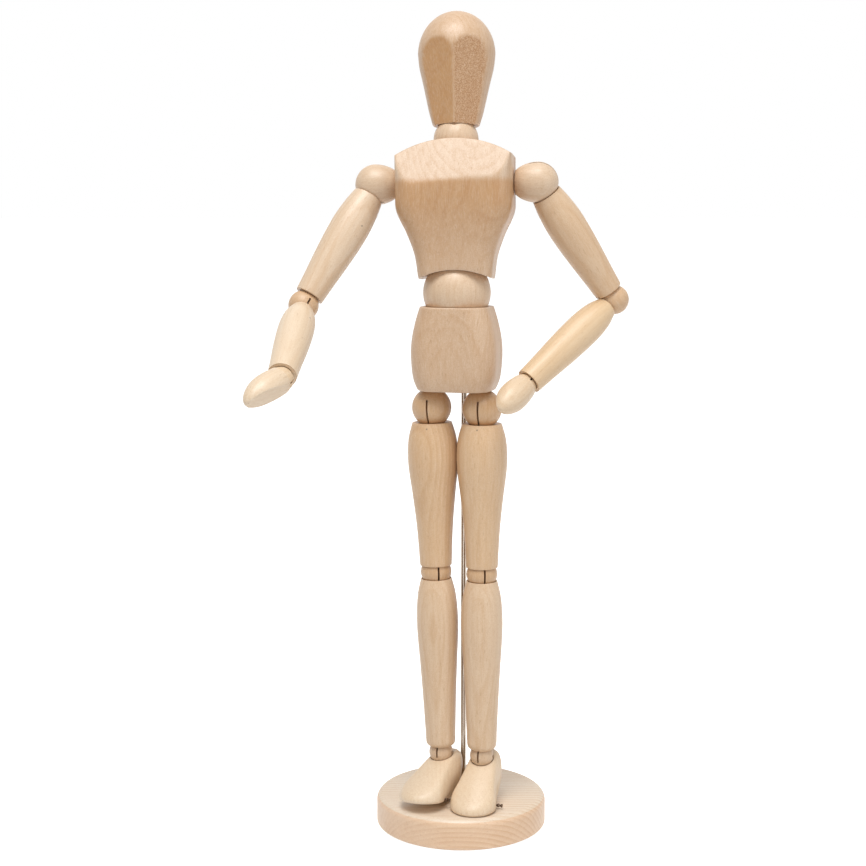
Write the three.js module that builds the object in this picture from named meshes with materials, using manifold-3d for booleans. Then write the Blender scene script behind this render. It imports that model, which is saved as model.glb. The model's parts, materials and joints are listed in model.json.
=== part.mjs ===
// Wooden artist mannequin on a round base, in the standing pose of its photograph.
// Millimetres, +Z up, the middle of the base's underside at the origin, the figure looks along -Y.
// The figure's own left side is at +X.
import * as THREE from 'three';
import { mergeVertices } from 'three/addons/utils/BufferGeometryUtils.js';
import Module from 'manifold-3d';

const wasm = await Module();
wasm.setup();

// Base and rod
const BASE_RADIUS = 35;
const BASE_HEIGHT = 12.5;
const BASE_TOP_ROUNDING = 3;
const BASE_FOOT_ROUNDING = 1.2;
const ROD_RADIUS = 1.15;
const ROD_FIT = 0.12;
const ROD_SINK = 9;
const ROD_SETBACK = 9;
const ROD_SLIDE_FIT = 0.22;
const ROD_COVER = 4.4;
const ROD_SIDE = 0.9;
const PELVIS_SIDE = -0.8;

// Balls, and the hollow left around each
const WAIST_BALL = 13.4;
const NECK_BALL = 8.85;
const SHOULDER_BALL = 7.95;
const ELBOW_BALL = 5.9;
const WRIST_BALL = 4.7;
const HIP_BALL = 7.9;
const KNEE_BALL = 6.2;
const ANKLE_BALL = 4.85;
const BALL_GAP = 0.3;
const SHOULDER_FLAT_RADIUS = 4.7;

// Distances between the joints
const HIP_SPACING = 10.35;
const SHOULDER_SPACING = 32.2;
const UPPER_ARM_SPAN = 57;
const FOREARM_SPAN = 54;
const THIGH_SPAN = 67;
const SHIN_SPAN = 75.6;

// Heights, each counted from what it stands on: the base carries the soles, the soles carry the
// ankles and so on up to the hips, and the pelvis, waist, chest, neck and head follow.
const SOLE_LIFT = 0.8;
const SOLE_DROP = 18.4;
const HIP_HEIGHT = BASE_HEIGHT + SOLE_LIFT + SOLE_DROP + SHIN_SPAN + THIGH_SPAN;
const PELVIS_RISE = 7.3;
const PELVIS_HEIGHT = 33.2;
const WAIST_RISE = 5.5;
const WAIST_ABOVE_HIPS = PELVIS_RISE + PELVIS_HEIGHT + WAIST_RISE;
const CHEST_RISE = 5.1;
const CHEST_HEIGHT = 54.5;
const CHEST_TOP = CHEST_RISE + CHEST_HEIGHT;
const SHOULDER_DROP = 16.9;
const SHOULDER_ABOVE_WAIST = CHEST_TOP - SHOULDER_DROP;
const CHIN_RISE = 5.5;
const HEAD_LENGTH = 44.7;
const HEAD_TOP = CHIN_RISE + HEAD_LENGTH;

// Wires, eyes and springs
const WIRE_RADIUS = 0.5;
const WIRE_SIDES = 5;
const WIRE_FIT = 0.2;
const STRIP_HALF_WIDTH = 0.45;
const EYE_THICKNESS = 0.4;
const EYE_FIT = 0.25;
const EYE_RIM = 0.7;
const EYE_HOLE = WIRE_RADIUS + EYE_FIT;
const EYE_RADIUS = EYE_HOLE + EYE_RIM;
const KERF_FIT = 0.25;
const KERF_WIDTH = EYE_THICKNESS + 2 * KERF_FIT;
const KERF_TOP = 0.45;
const POCKET_REACH = 0.45;
const HOOK_LEG_OFFSET = 1.2;
const HOOK_LEG_TOP = 0.85;
const PIN_RECESS = 0.6;
const HOOK_FIT = 0.45;
const HOOK_BORE = WIRE_RADIUS + HOOK_FIT;
const HOOK_END_ROOM = 1;
const SPRING_RADIUS = 1.6;
const SPRING_GROOVE = 0.28;
const SPRING_PITCH = 2.2;
const SPRING_FIT = 0.3;
const BORE_RADIUS = SPRING_RADIUS + SPRING_FIT;
const COIL_LENGTH = 13;
const COIL_JOIN = 0.4;
const TAIL_RADIUS = 0.6;
const PLUG_LENGTH = 5;
const END_GAP = 0.3;
const BORE_WALL = 1;

// How deep the wires reach into each piece
const HIP_HOOK_REACH = 16;
const WAIST_HOOK_DEPTH = 22;
const NECK_HOOK_DEPTH = SHOULDER_DROP - BORE_RADIUS - BORE_WALL;
const WAIST_LINK_REACH = 25.7;
const HEAD_LINK_REACH = 20.1;
const HAND_HOOK_REACH = 15;
const CROSS_SPRING_HALF = 9;
const THIGH_WIRE_END = 46;
const UPPER_ARM_WIRE_END = 42;
const SHIN_STRIP_LENGTH = 10;
const FOREARM_STRIP_LENGTH = 9;
const THIGH_COIL_DEPTH = 14;
const SHIN_COIL_DEPTH = 14;
const UPPER_ARM_COIL_DEPTH = 13;
const FOREARM_COIL_DEPTH = 12;

// Limbs at their widest
const UPPER_ARM_RADIUS = 7.7;
const FOREARM_RADIUS = 6.85;
const THIGH_RADIUS = 10.1;
const SHIN_RADIUS = 8.35;

// Pelvis at its widest
const PELVIS_HALF_WIDTH = 17.3;
const PELVIS_HALF_DEPTH = 13.7;
const PELVIS_CORNER = 9;

// Chest
const CHEST_ARCH_RADIUS = 43;
const CHEST_HOLLOW_RISE = 3.6;
const CHEST_HOLLOW_RADIUS = 33;
const SIDE_SEAT = 22.8;
const CHEST_FRONT = 19;
const CHEST_BACK = 15.2;
const CHEST_CORNER = 7.5;
const FACET_TOP_DEPTH = 10.6;
const FACET_EDGE_DEPTH = 18;
const FACET_EDGE_DROP = 16.5;
const FACET_ROLL = 2.25;
const BEVEL_EDGE_DROP = 11.9;
const BEVEL_TOP_DEPTH = 10.6;

// Head, with two planed faces that stand at a distance from its axis and turn apart
const HEAD_RADIUS = 15.2;
const HEAD_WIDEST_DROP = 16.9;
const FACE_DISTANCE = 9.6;
const FACE_TURN = 27;
const FACE_SLOPE = 9;
const FACE_RISE = 11.6;

// Feet, measured from the ankle's middle
const HEEL_TOP = 0.8;
const HEEL_REACH = 10.2;
const HEEL_HALF_WIDTH = 7;
const HEEL_OFFSET = 0.5;
const TOE_REACH = 21.6;
const TOE_HALF_WIDTH = 9.4;
const TOE_THICKNESS = 1;
const INSTEP_AHEAD = 3.5;
const INSTEP_DROP = 4.3;
const SOLE_PIN_AHEAD = 8;
const SOLE_PIN_RADIUS = 0.55;
const SOLE_PIN_OUT = 0.5;
const SOLE_GROOVE_FIT = 0.25;
const POST_FLOOR = 3;

// Hands, measured from the wrist's middle
const HAND_RIM_DROP = 0.6;
const HAND_LENGTH = 19;
const HAND_RADIUS = 5.85;
const HAND_LIP = 0.24;
const PALM_TOP_DEPTH = 4.9;
const PALM_TIP_DEPTH = 0.6;

// Pose, in degrees
const FIGURE_YAW = -15;
const WAIST_TURN = 8;
const WAIST_LEAN = -1.2;
const WAIST_BACK = -3;
const NECK_LEAN = 0.3;
const HEAD_NOD = -4;
const KNEE_TURN = 25;
const ANKLE_KERF = -32;
const LEG_LEAN = { left: -0.2, right: -1.6 };
const FOOT_TURN = { left: 4, right: -13 };
const ANKLE_BEND = { left: 0, right: -11 };
const SHOULDER_SWING = { left: 70, right: -111 };
const SHOULDER_RAISE = { left: 59, right: 63 };
const ELBOW_TURN = { left: 40, right: -60 };
const ELBOW_BEND = { left: 88, right: 47 };
const WRIST_KERF = { left: 71, right: -129 };
const WRIST_BEND = { left: 23, right: 32 };
const HAND_TURN = { left: 9, right: 30 };

const rad = (degrees) => (degrees * Math.PI) / 180;

// Solids

// A closed triangle mesh as a solid that can be cut.
function solid(geometry) {
  const bare = geometry.clone();
  bare.deleteAttribute('normal');
  bare.deleteAttribute('uv');
  const merged = mergeVertices(bare, 1e-4);
  const index = merged.index.array;
  const kept = [];
  for (let i = 0; i < index.length; i += 3) {
    const [a, b, c] = [index[i], index[i + 1], index[i + 2]];
    if (a !== b && b !== c && c !== a) kept.push(a, b, c);
  }
  return new wasm.Manifold(new wasm.Mesh({
    numProp: 3,
    vertProperties: Float32Array.from(merged.attributes.position.array),
    triVerts: Uint32Array.from(kept),
  }));
}

// A solid back as three.js geometry.
function surface(body) {
  const mesh = body.getMesh();
  const geometry = new THREE.BufferGeometry();
  geometry.setAttribute('position', new THREE.BufferAttribute(mesh.vertProperties, 3));
  geometry.setIndex(new THREE.BufferAttribute(mesh.triVerts, 1));
  geometry.computeVertexNormals();
  return geometry;
}

// Points of an arc in the radius and height plane, angles in degrees from the horizontal.
function arc(radius, height, size, from, to, steps) {
  const points = [];
  for (let i = 0; i <= steps; i += 1) {
    const angle = rad(from + ((to - from) * i) / steps);
    points.push([Math.max(0, radius + size * Math.cos(angle)), height + size * Math.sin(angle)]);
  }
  return points;
}

// A profile of radius and height pairs, turned about the Z axis.
function turned(profile, sides) {
  const points = profile.map(([radius, height]) => new THREE.Vector2(radius, height));
  return solid(new THREE.LatheGeometry(points, sides).rotateX(Math.PI / 2));
}

// A box given by its two opposite corners.
function box(low, high) {
  const size = high.map((value, axis) => value - low[axis]);
  const middle = high.map((value, axis) => (value + low[axis]) / 2);
  return solid(new THREE.BoxGeometry(...size).translate(...middle));
}

// A straight round bar between two points.
function bar(from, to, radius, sides) {
  const start = new THREE.Vector3(...from);
  const along = new THREE.Vector3(...to).sub(start);
  const geometry = new THREE.CylinderGeometry(radius, radius, along.length(), sides);
  geometry.translate(0, along.length() / 2, 0);
  const up = new THREE.Vector3(0, 1, 0);
  geometry.applyQuaternion(new THREE.Quaternion().setFromUnitVectors(up, along.normalize()));
  return solid(geometry.translate(...from));
}

// What is left of a body after planing it flat at a point, square to the given direction.
function planed(body, point, direction) {
  const reach = 120;
  const cutter = new THREE.BoxGeometry(reach, reach, reach).translate(0, 0, reach / 2);
  const up = new THREE.Vector3(0, 0, 1);
  const facing = new THREE.Vector3(...direction).normalize();
  cutter.applyQuaternion(new THREE.Quaternion().setFromUnitVectors(up, facing));
  return body.subtract(solid(cutter.translate(...point)));
}

// A solid through closed rings of points that all have the same count, lowest ring first.
function lofted(rings) {
  const count = rings[0].length;
  const positions = rings.flat(2);
  const index = [];
  for (let ring = 0; ring < rings.length - 1; ring += 1) {
    for (let i = 0; i < count; i += 1) {
      const next = (i + 1) % count;
      const [a, b] = [ring * count + i, ring * count + next];
      index.push(a, b, b + count, a, b + count, a + count);
    }
  }
  const middle = (ring) => [0, 1, 2].map((axis) => (
    ring.reduce((sum, point) => sum + point[axis], 0) / count
  ));
  const bottom = rings.length * count;
  const last = (rings.length - 1) * count;
  positions.push(...middle(rings[0]), ...middle(rings.at(-1)));
  for (let i = 0; i < count; i += 1) {
    const next = (i + 1) % count;
    index.push(bottom, next, i);
    index.push(bottom + 1, last + i, last + next);
  }
  const geometry = new THREE.BufferGeometry();
  geometry.setAttribute('position', new THREE.Float32BufferAttribute(positions, 3));
  geometry.setIndex(index);
  return solid(geometry);
}

// A level ring: a rectangle with rounded corners, deeper or shallower at the front than at the back.
function blockRing(height, halfWidth, front, back, corner) {
  const points = [];
  const corners = [[1, back, 0], [-1, back, 90], [-1, -front, 180], [1, -front, 270]];
  const steps = 3;
  for (const [side, depth, start] of corners) {
    const middleY = depth - Math.sign(depth) * corner;
    for (let i = 0; i <= steps; i += 1) {
      const angle = rad(start + (90 * i) / steps);
      const x = side * (halfWidth - corner) + corner * Math.cos(angle);
      points.push([x, middleY + corner * Math.sin(angle), height]);
    }
  }
  return points;
}

// Wires and springs

// The wire hook of a ball: a pin across the saw cut, a slanting leg beside it and a straight shank.
function hookWire(ballRadius, shankEnd) {
  const reach = ballRadius - PIN_RECESS;
  const legTop = ballRadius * HOOK_LEG_TOP;
  return bar([-reach, 0, 0], [reach, 0, 0], WIRE_RADIUS, WIRE_SIDES)
    .add(bar([HOOK_LEG_OFFSET, 0, 0], [0, 0, legTop], WIRE_RADIUS, WIRE_SIDES))
    .add(bar([0, 0, legTop - WIRE_RADIUS / 2], [0, 0, shankEnd], WIRE_RADIUS, WIRE_SIDES));
}

// A flat eye around a pin at the origin, with a strip that runs down to the given depth.
function eyeStrip(depth) {
  const outline = new THREE.Shape();
  const neck = Math.asin(STRIP_HALF_WIDTH / EYE_RADIUS);
  outline.absarc(0, 0, EYE_RADIUS, -Math.PI / 2 + neck, 1.5 * Math.PI - neck, false);
  outline.lineTo(-STRIP_HALF_WIDTH, -depth);
  outline.lineTo(STRIP_HALF_WIDTH, -depth);
  const hole = new THREE.Path();
  hole.absarc(0, 0, EYE_HOLE, 0, 2 * Math.PI, true);
  outline.holes.push(hole);
  const settings = { depth: EYE_THICKNESS, bevelEnabled: false, curveSegments: 4 };
  const flat = new THREE.ExtrudeGeometry(outline, settings);
  flat.translate(0, 0, -EYE_THICKNESS / 2);
  return solid(flat.rotateX(Math.PI / 2).rotateZ(Math.PI / 2));
}

// A close-wound spring body as a grooved barrel between two depths.
function coil(top, bottom) {
  const turns = Math.max(2, Math.round((top - bottom) / SPRING_PITCH));
  const pitch = (top - bottom) / turns;
  const profile = [[0, bottom]];
  for (let turn = 0; turn < turns; turn += 1) {
    const start = bottom + turn * pitch;
    profile.push([SPRING_RADIUS - SPRING_GROOVE, start]);
    profile.push([SPRING_RADIUS, start + pitch / 2]);
  }
  profile.push([SPRING_RADIUS - SPRING_GROOVE, top], [0, top]);
  return turned(profile, 7);
}

// Balls

// A ball with a slot below, a pin hole across it and a passage for its hook above. The slot is
// sawn right across unless half its length is given.
function slottedBall(radius, profile, sides, slotReach = radius * 2) {
  const reach = radius * 2;
  const kerf = box(
    [-KERF_WIDTH / 2, -slotReach, -reach],
    [KERF_WIDTH / 2, slotReach, radius * KERF_TOP],
  );
  return turned(profile, sides)
    .subtract(kerf)
    .subtract(bar([-reach, 0, 0], [reach, 0, 0], WIRE_RADIUS + WIRE_FIT, WIRE_SIDES))
    .subtract(bar([0, 0, -WIRE_RADIUS - WIRE_FIT], [0, 0, reach], BORE_RADIUS, 8));
}

function roundBall(radius, sides = 14, slotReach = radius * 2) {
  return slottedBall(radius, arc(0, 0, radius, -90, 90, sides / 2), sides, slotReach);
}

// The ball-shaped hollow that leaves room around a ball.
function socketBall(radius, sides) {
  return turned(arc(0, 0, radius + BALL_GAP, -90, 90, sides / 2), sides);
}

// The shoulder ball is drawn out on its inner side and ends in a flat against the chest. Its
// squared radius falls with the square of the height, from the ball's to the flat's.
function shoulderBall() {
  const seat = SHOULDER_SPACING - SIDE_SEAT - END_GAP;
  const narrowing = SHOULDER_BALL ** 2 - SHOULDER_FLAT_RADIUS ** 2;
  const profile = arc(0, 0, SHOULDER_BALL, -90, 0, 4);
  for (const share of [0.35, 0.65, 0.85, 1]) {
    profile.push([Math.sqrt(SHOULDER_BALL ** 2 - narrowing * share ** 2), seat * share]);
  }
  profile.push([0, seat]);
  return slottedBall(SHOULDER_BALL, profile, 14);
}

// Limbs

// The radius of a ball's hollow where its rim lies the given distance from the ball's middle.
function rimRadius(ball, drop) {
  return Math.sqrt((ball + BALL_GAP) ** 2 - drop ** 2);
}

// The side of a turned piece between two rims. Each point lists how far along the piece it lies,
// from 0 to 1, and how far the radius has grown there from the nearer rim's to the widest. The
// points before the widest one grow from the first rim, the others from the last.
function swelling(points, firstRim, widest, lastRim) {
  const widestAt = points.findIndex(([, growth]) => growth === 1);
  const middle = points.map(([share, growth], place) => {
    const rim = place < widestAt ? firstRim : lastRim;
    return [share, rim + (widest - rim) * growth];
  });
  return [[0, firstRim], ...middle, [1, lastRim]];
}

// A turned limb with a hollow socket at each end and a bore right through.
// Its upper ball is at the origin and its lower ball at -span. Each end lists its ball's radius,
// then two shares of that radius: how far the wood's rim lies from the ball's middle, and how
// thick the rim's lip is.
function limb({ span, radius, upper, lower, points }) {
  const [upperDrop, lowerDrop] = [upper, lower].map(({ ball, drop }) => ball * drop);
  const top = -upperDrop;
  const bottom = -span + lowerDrop;
  const socket = (ballRadius, drop, centre, direction) => {
    const size = ballRadius + BALL_GAP;
    const rim = (Math.asin(drop / size) * 180) / Math.PI;
    const bore = (Math.acos(BORE_RADIUS / size) * 180) / Math.PI;
    return arc(0, centre, size, direction * bore, direction * rim, 2);
  };
  const lowerSocket = socket(lower.ball, lowerDrop, -span, 1);
  const upperSocket = socket(upper.ball, upperDrop, 0, -1).reverse();
  const upperRim = rimRadius(upper.ball, upperDrop) + upper.ball * upper.lip;
  const lowerRim = rimRadius(lower.ball, lowerDrop) + lower.ball * lower.lip;
  const side = swelling(points, upperRim, radius, lowerRim)
    .map(([share, size]) => [size, top + (bottom - top) * share])
    .reverse();
  return turned([...lowerSocket, ...side, ...upperSocket, lowerSocket[0]], LIMB_SIDES);
}

// The spring of a limb: an eye on the upper ball's pin, a coil in the bore and a straight wire
// down to the given depth.
function limbSpring(coilTop, wireEnd) {
  const coilBottom = coilTop + COIL_LENGTH;
  return eyeStrip(coilTop + COIL_JOIN)
    .add(coil(-coilTop, -coilBottom))
    .add(bar([0, 0, COIL_JOIN - coilBottom], [0, 0, -wireEnd], TAIL_RADIUS, 6));
}

// The same spring with a second eye on the lower ball's pin.
function twoEyedSpring(coilTop, stripLength, span, lowerEyeTurn) {
  const strip = eyeStrip(stripLength + COIL_JOIN).rotate([180, 0, lowerEyeTurn]);
  return limbSpring(coilTop, span - stripLength).add(strip.translate([0, 0, -span]));
}

const LIMB_SIDES = 16;

const UPPER_ARM = {
  span: UPPER_ARM_SPAN,
  radius: UPPER_ARM_RADIUS,
  upper: { ball: SHOULDER_BALL, drop: 0.755, lip: 0.037 },
  lower: { ball: ELBOW_BALL, drop: 0.763, lip: 0.21 },
  points: [[0.012, 0.14], [0.13, 0.66], [0.28, 1], [0.45, 0.955], [0.65, 0.68], [0.85, 0.32],
    [0.985, 0.11]],
};

const FOREARM = {
  span: FOREARM_SPAN,
  radius: FOREARM_RADIUS,
  upper: { ball: ELBOW_BALL, drop: 0.814, lip: 0.073 },
  lower: { ball: WRIST_BALL, drop: 0.617, lip: 0.24 },
  points: [[0.03, 0.2], [0.12, 0.7], [0.25, 0.98], [0.4, 1], [0.6, 0.79], [0.8, 0.42],
    [0.985, 0.15]],
};

const THIGH = {
  span: THIGH_SPAN,
  radius: THIGH_RADIUS,
  upper: { ball: HIP_BALL, drop: 0.772, lip: 0.294 },
  lower: { ball: KNEE_BALL, drop: 0.452, lip: 0.061 },
  points: [[0.008, 0.13], [0.1, 0.76], [0.2, 1], [0.32, 0.95], [0.5, 0.62], [0.7, 0.31],
    [0.87, 0.14], [0.985, 0.065]],
};

const SHIN = {
  span: SHIN_SPAN,
  radius: SHIN_RADIUS,
  upper: { ball: KNEE_BALL, drop: 0.452, lip: 0.045 },
  lower: { ball: ANKLE_BALL, drop: 0.619, lip: 0.146 },
  points: [[0.008, 0.11], [0.09, 0.7], [0.2, 1], [0.33, 0.985], [0.52, 0.75], [0.72, 0.535],
    [0.9, 0.375], [0.978, 0.305]],
};

// Blocks

function base() {
  const rounding = BASE_TOP_ROUNDING;
  const topArc = arc(BASE_RADIUS - rounding, BASE_HEIGHT - rounding, rounding, 0, 90, 4);
  const foot = BASE_FOOT_ROUNDING;
  const profile = [[0, 0], ...arc(BASE_RADIUS - foot, foot, foot, -90, 0, 2), ...topArc];
  profile.push([0, BASE_HEIGHT]);
  const hole = bar(
    [ROD_SIDE, 0, BASE_HEIGHT - ROD_SINK],
    [ROD_SIDE, 0, BASE_HEIGHT + 1],
    ROD_RADIUS + ROD_FIT,
    12,
  );
  return turned(profile, 40).subtract(hole);
}

// How far the rod reaches up into the pelvis: to a cover of wood below the waist ball's hollow.
function rodReach() {
  const hollowDepth = Math.sqrt((WAIST_BALL + BALL_GAP) ** 2 - ROD_SETBACK ** 2);
  return PELVIS_HEIGHT + WAIST_RISE - hollowDepth - ROD_COVER;
}

function supportRod() {
  const low = BASE_HEIGHT - ROD_SINK + END_GAP;
  const high = HIP_HEIGHT + PELVIS_RISE + rodReach() - END_GAP;
  return bar([ROD_SIDE, 0, low], [ROD_SIDE, 0, high], ROD_RADIUS, 12);
}

// The pelvis, around the middle of the hips: a block that swells in the middle, with sockets for
// the waist and hip balls. Its outline lists how far up the block a ring lies, from 0 to 1, then
// the shares of its greatest half width, half depth and corner rounding.
function pelvis() {
  const outline = [
    [0, 0.844, 0.832, 0.89], [0.03, 0.884, 0.883, 0.94], [0.16, 0.965, 0.956, 1], [0.4, 1, 1, 1],
    [0.6, 0.983, 1, 1], [0.8, 0.908, 0.993, 1], [0.97, 0.815, 0.971, 1], [1, 0.792, 0.949, 0.98],
  ];
  let body = lofted(outline.map(([share, width, depth, corner]) => {
    const halfDepth = PELVIS_HALF_DEPTH * depth;
    const height = PELVIS_RISE + share * PELVIS_HEIGHT;
    const halfWidth = PELVIS_HALF_WIDTH * width;
    return blockRing(height, halfWidth, halfDepth, halfDepth, PELVIS_CORNER * corner);
  }));
  body = body.subtract(bar(
    [-PELVIS_SIDE, ROD_SETBACK, 0],
    [-PELVIS_SIDE, ROD_SETBACK, PELVIS_RISE + rodReach()],
    ROD_RADIUS + ROD_SLIDE_FIT,
    12,
  ));
  const waist = [0, 0, WAIST_ABOVE_HIPS];
  const hookFloor = [0, 0, WAIST_ABOVE_HIPS - WAIST_HOOK_DEPTH];
  body = body.subtract(socketBall(WAIST_BALL, 20).translate(waist));
  body = body.subtract(bar(hookFloor, waist, HOOK_BORE, 10));
  for (const x of [-HIP_SPACING, HIP_SPACING]) {
    body = body.subtract(socketBall(HIP_BALL, 16).translate([x, 0, 0]));
    body = body.subtract(bar([x, 0, 0], [x, 0, HIP_HOOK_REACH], HOOK_BORE, 10));
  }
  return body;
}

// The chest, around the middle of the waist: a block that narrows downwards, arched on top and
// hollowed below, with one broad planed facet sloping down to the breast, a shallower bevel
// behind, and sockets for the waist and neck balls. Its outline lists how far up the block a ring
// lies, from 0 to 1, then the shares of its greatest half width, front depth, back depth and
// corner rounding. The last ring lies past the arch.
function chest() {
  const outline = [
    [0, 0.614, 0.611, 0.783, 0.73], [0.015, 0.64, 0.642, 0.822, 0.8],
    [0.183, 0.693, 0.716, 0.882, 0.87], [0.356, 0.82, 0.821, 0.947, 0.93],
    [0.484, 0.939, 0.895, 0.987, 1], [0.598, 1, 0.937, 1, 1], [1.04, 1, 1, 1, 1],
  ];
  const rings = outline.map(([share, width, front, back, corner]) => blockRing(
    CHEST_RISE + share * CHEST_HEIGHT,
    SIDE_SEAT * width,
    CHEST_FRONT * front,
    CHEST_BACK * back,
    CHEST_CORNER * corner,
  ));
  const length = 2 * (CHEST_FRONT + CHEST_BACK);
  const drumBelow = (radius, height, sides) => solid(
    new THREE.CylinderGeometry(radius, radius, length, sides).translate(0, 0, height - radius),
  );
  let body = lofted(rings)
    .intersect(drumBelow(CHEST_ARCH_RADIUS, CHEST_TOP, 72))
    .subtract(drumBelow(CHEST_HOLLOW_RADIUS, CHEST_RISE + CHEST_HOLLOW_RISE, 48));
  const roll = -FACET_EDGE_DROP * Math.sin(rad(FACET_ROLL));
  const facetFacing = [roll, -FACET_EDGE_DROP, FACET_EDGE_DEPTH - FACET_TOP_DEPTH];
  body = planed(body, [0, -FACET_EDGE_DEPTH, CHEST_TOP - FACET_EDGE_DROP], facetFacing);
  const bevelFacing = [0, BEVEL_EDGE_DROP, CHEST_BACK - BEVEL_TOP_DEPTH];
  body = planed(body, [0, CHEST_BACK, CHEST_TOP - BEVEL_EDGE_DROP], bevelFacing);
  const neck = [0, 0, CHEST_TOP];
  const linkTop = [0, 0, WAIST_LINK_REACH + END_GAP];
  body = body.subtract(socketBall(WAIST_BALL, 20));
  body = body.subtract(socketBall(NECK_BALL, 16).translate(neck));
  body = body.subtract(bar([0, 0, 0], linkTop, BORE_RADIUS, 10));
  body = body.subtract(bar([0, 0, CHEST_TOP - NECK_HOOK_DEPTH], neck, HOOK_BORE, 10));
  const [right, left] = [-length, length].map((x) => [x, 0, SHOULDER_ABOVE_WAIST]);
  return body.subtract(bar(right, left, BORE_RADIUS, 10));
}

// The head, around the middle of the neck: an egg turned on the lathe, with two faces planed on it
// that meet in a keel. The cheeks list how far up from the chin to the widest height a point lies,
// from 0 to 1, and the share of the greatest radius there.
function head() {
  const widest = HEAD_TOP - HEAD_WIDEST_DROP;
  const cheeks = [[0, 0.586], [0.022, 0.615], [0.2, 0.707], [0.583, 0.862], [0.815, 0.961]];
  const profile = cheeks.map(([share, radius]) => (
    [HEAD_RADIUS * radius, CHIN_RISE + (widest - CHIN_RISE) * share]
  ));
  for (const angle of [0, 16, 32, 48, 64, 78]) {
    const height = HEAD_WIDEST_DROP * Math.sin(rad(angle));
    profile.push([HEAD_RADIUS * Math.cos(rad(angle)), widest + height]);
  }
  let body = turned([[0, CHIN_RISE], ...profile, [0, HEAD_TOP]], 24);
  for (const side of [-1, 1]) {
    const turn = rad(FACE_TURN * side);
    const facing = [Math.sin(turn), -Math.cos(turn), -Math.tan(rad(FACE_SLOPE))];
    const [x, y] = facing.map((part) => part * FACE_DISTANCE);
    body = planed(body, [x, y, CHIN_RISE + FACE_RISE], facing);
  }
  return body
    .subtract(socketBall(NECK_BALL, 16))
    .subtract(bar([0, 0, 0], [0, 0, HEAD_LINK_REACH + END_GAP], BORE_RADIUS, 10));
}

// A foot: an egg-shaped block with a flat sole, planed off by one sloping face from the ankle
// down to the toe. The heel overhangs the sole and stands a little to the foot's left side.
// Its outline lists how far up the block a ring lies, from 0 to 1, then the shares of the heel's
// reach, the heel's half width and the toe's half width.
function foot() {
  const outline = [
    [0, 0.51, 0.74, 0.94], [0.07, 0.61, 0.83, 1], [0.25, 0.775, 0.915, 0.97],
    [0.5, 0.92, 0.985, 0.82], [0.75, 1, 0.93, 0.62], [0.92, 0.95, 0.78, 0.46], [1, 0.8, 0.55, 0.3],
  ];
  const steps = 8;
  const rings = outline.map(([share, reach, heelWidth, toeWidth]) => {
    const height = -SOLE_DROP + (SOLE_DROP + HEEL_TOP) * share;
    const heel = HEEL_HALF_WIDTH * heelWidth;
    const toe = TOE_HALF_WIDTH * toeWidth;
    const ring = [];
    for (const [x, y, size, start] of [
      [HEEL_OFFSET, HEEL_REACH * reach - heel, heel, 0],
      [0, TOE_HALF_WIDTH - TOE_REACH, toe, 180],
    ]) {
      for (let i = 0; i <= steps; i += 1) {
        const angle = rad(start + (180 * i) / steps);
        ring.push([x + size * Math.cos(angle), y + size * Math.sin(angle), height]);
      }
    }
    return ring;
  });
  const fall = SOLE_DROP - TOE_THICKNESS - INSTEP_DROP;
  const run = TOE_REACH - INSTEP_AHEAD;
  const body = planed(lofted(rings), [0, -INSTEP_AHEAD, -INSTEP_DROP], [0, -fall, run]);
  const reach = TOE_HALF_WIDTH * 2;
  const halfGroove = SOLE_PIN_RADIUS + SOLE_GROOVE_FIT;
  const groove = box(
    [-reach, -SOLE_PIN_AHEAD - halfGroove, -SOLE_DROP - halfGroove],
    [reach, -SOLE_PIN_AHEAD + halfGroove, -SOLE_DROP + 2 * halfGroove],
  );
  return body
    .subtract(socketBall(ANKLE_BALL, 14))
    .subtract(bar([0, 0, 0], [0, 0, -SOLE_DROP + POST_FLOOR], HOOK_BORE, 10))
    .subtract(groove);
}

function solePin() {
  const reach = TOE_HALF_WIDTH + SOLE_PIN_OUT;
  const height = -SOLE_DROP + SOLE_PIN_RADIUS + SOLE_GROOVE_FIT;
  return bar([-reach, -SOLE_PIN_AHEAD, height], [reach, -SOLE_PIN_AHEAD, height], SOLE_PIN_RADIUS, 8);
}

// A hand: an egg turned on the lathe, with one flat palm planed from its rim to its tip. The
// points list how far down the hand a point lies, from 0 to 1, and how far the radius has grown
// there from the rim's, or from nothing at the tip, to the widest.
function hand() {
  const points = [[0.05, 0.2], [0.22, 0.8], [0.4, 1], [0.58, 0.95], [0.76, 0.76], [0.9, 0.5],
    [0.98, 0.22]];
  const rim = rimRadius(WRIST_BALL, HAND_RIM_DROP) + HAND_LIP;
  const side = swelling(points, rim, HAND_RADIUS, 0).map(([share, radius]) => (
    [radius, -HAND_RIM_DROP - (HAND_LENGTH - HAND_RIM_DROP) * share]
  ));
  const body = turned([...side.reverse(), [0, -HAND_RIM_DROP]], 14);
  const palmFacing = [0, HAND_RIM_DROP - HAND_LENGTH, PALM_TIP_DEPTH - PALM_TOP_DEPTH];
  return planed(body, [0, -PALM_TIP_DEPTH, -HAND_LENGTH], palmFacing)
    .subtract(socketBall(WRIST_BALL, 14))
    .subtract(bar([0, 0, 0], [0, 0, -HAND_HOOK_REACH - END_GAP], HOOK_BORE, 10));
}

// The link between a ball's pin and the block above it: an eye, a strip and a turned plug.
function blockLink(height) {
  const strip = eyeStrip(height - PLUG_LENGTH + COIL_JOIN).rotate([180, 0, 0]);
  return strip.add(bar([0, 0, height - PLUG_LENGTH], [0, 0, height], SPRING_RADIUS, 8));
}

// Colours

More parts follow.
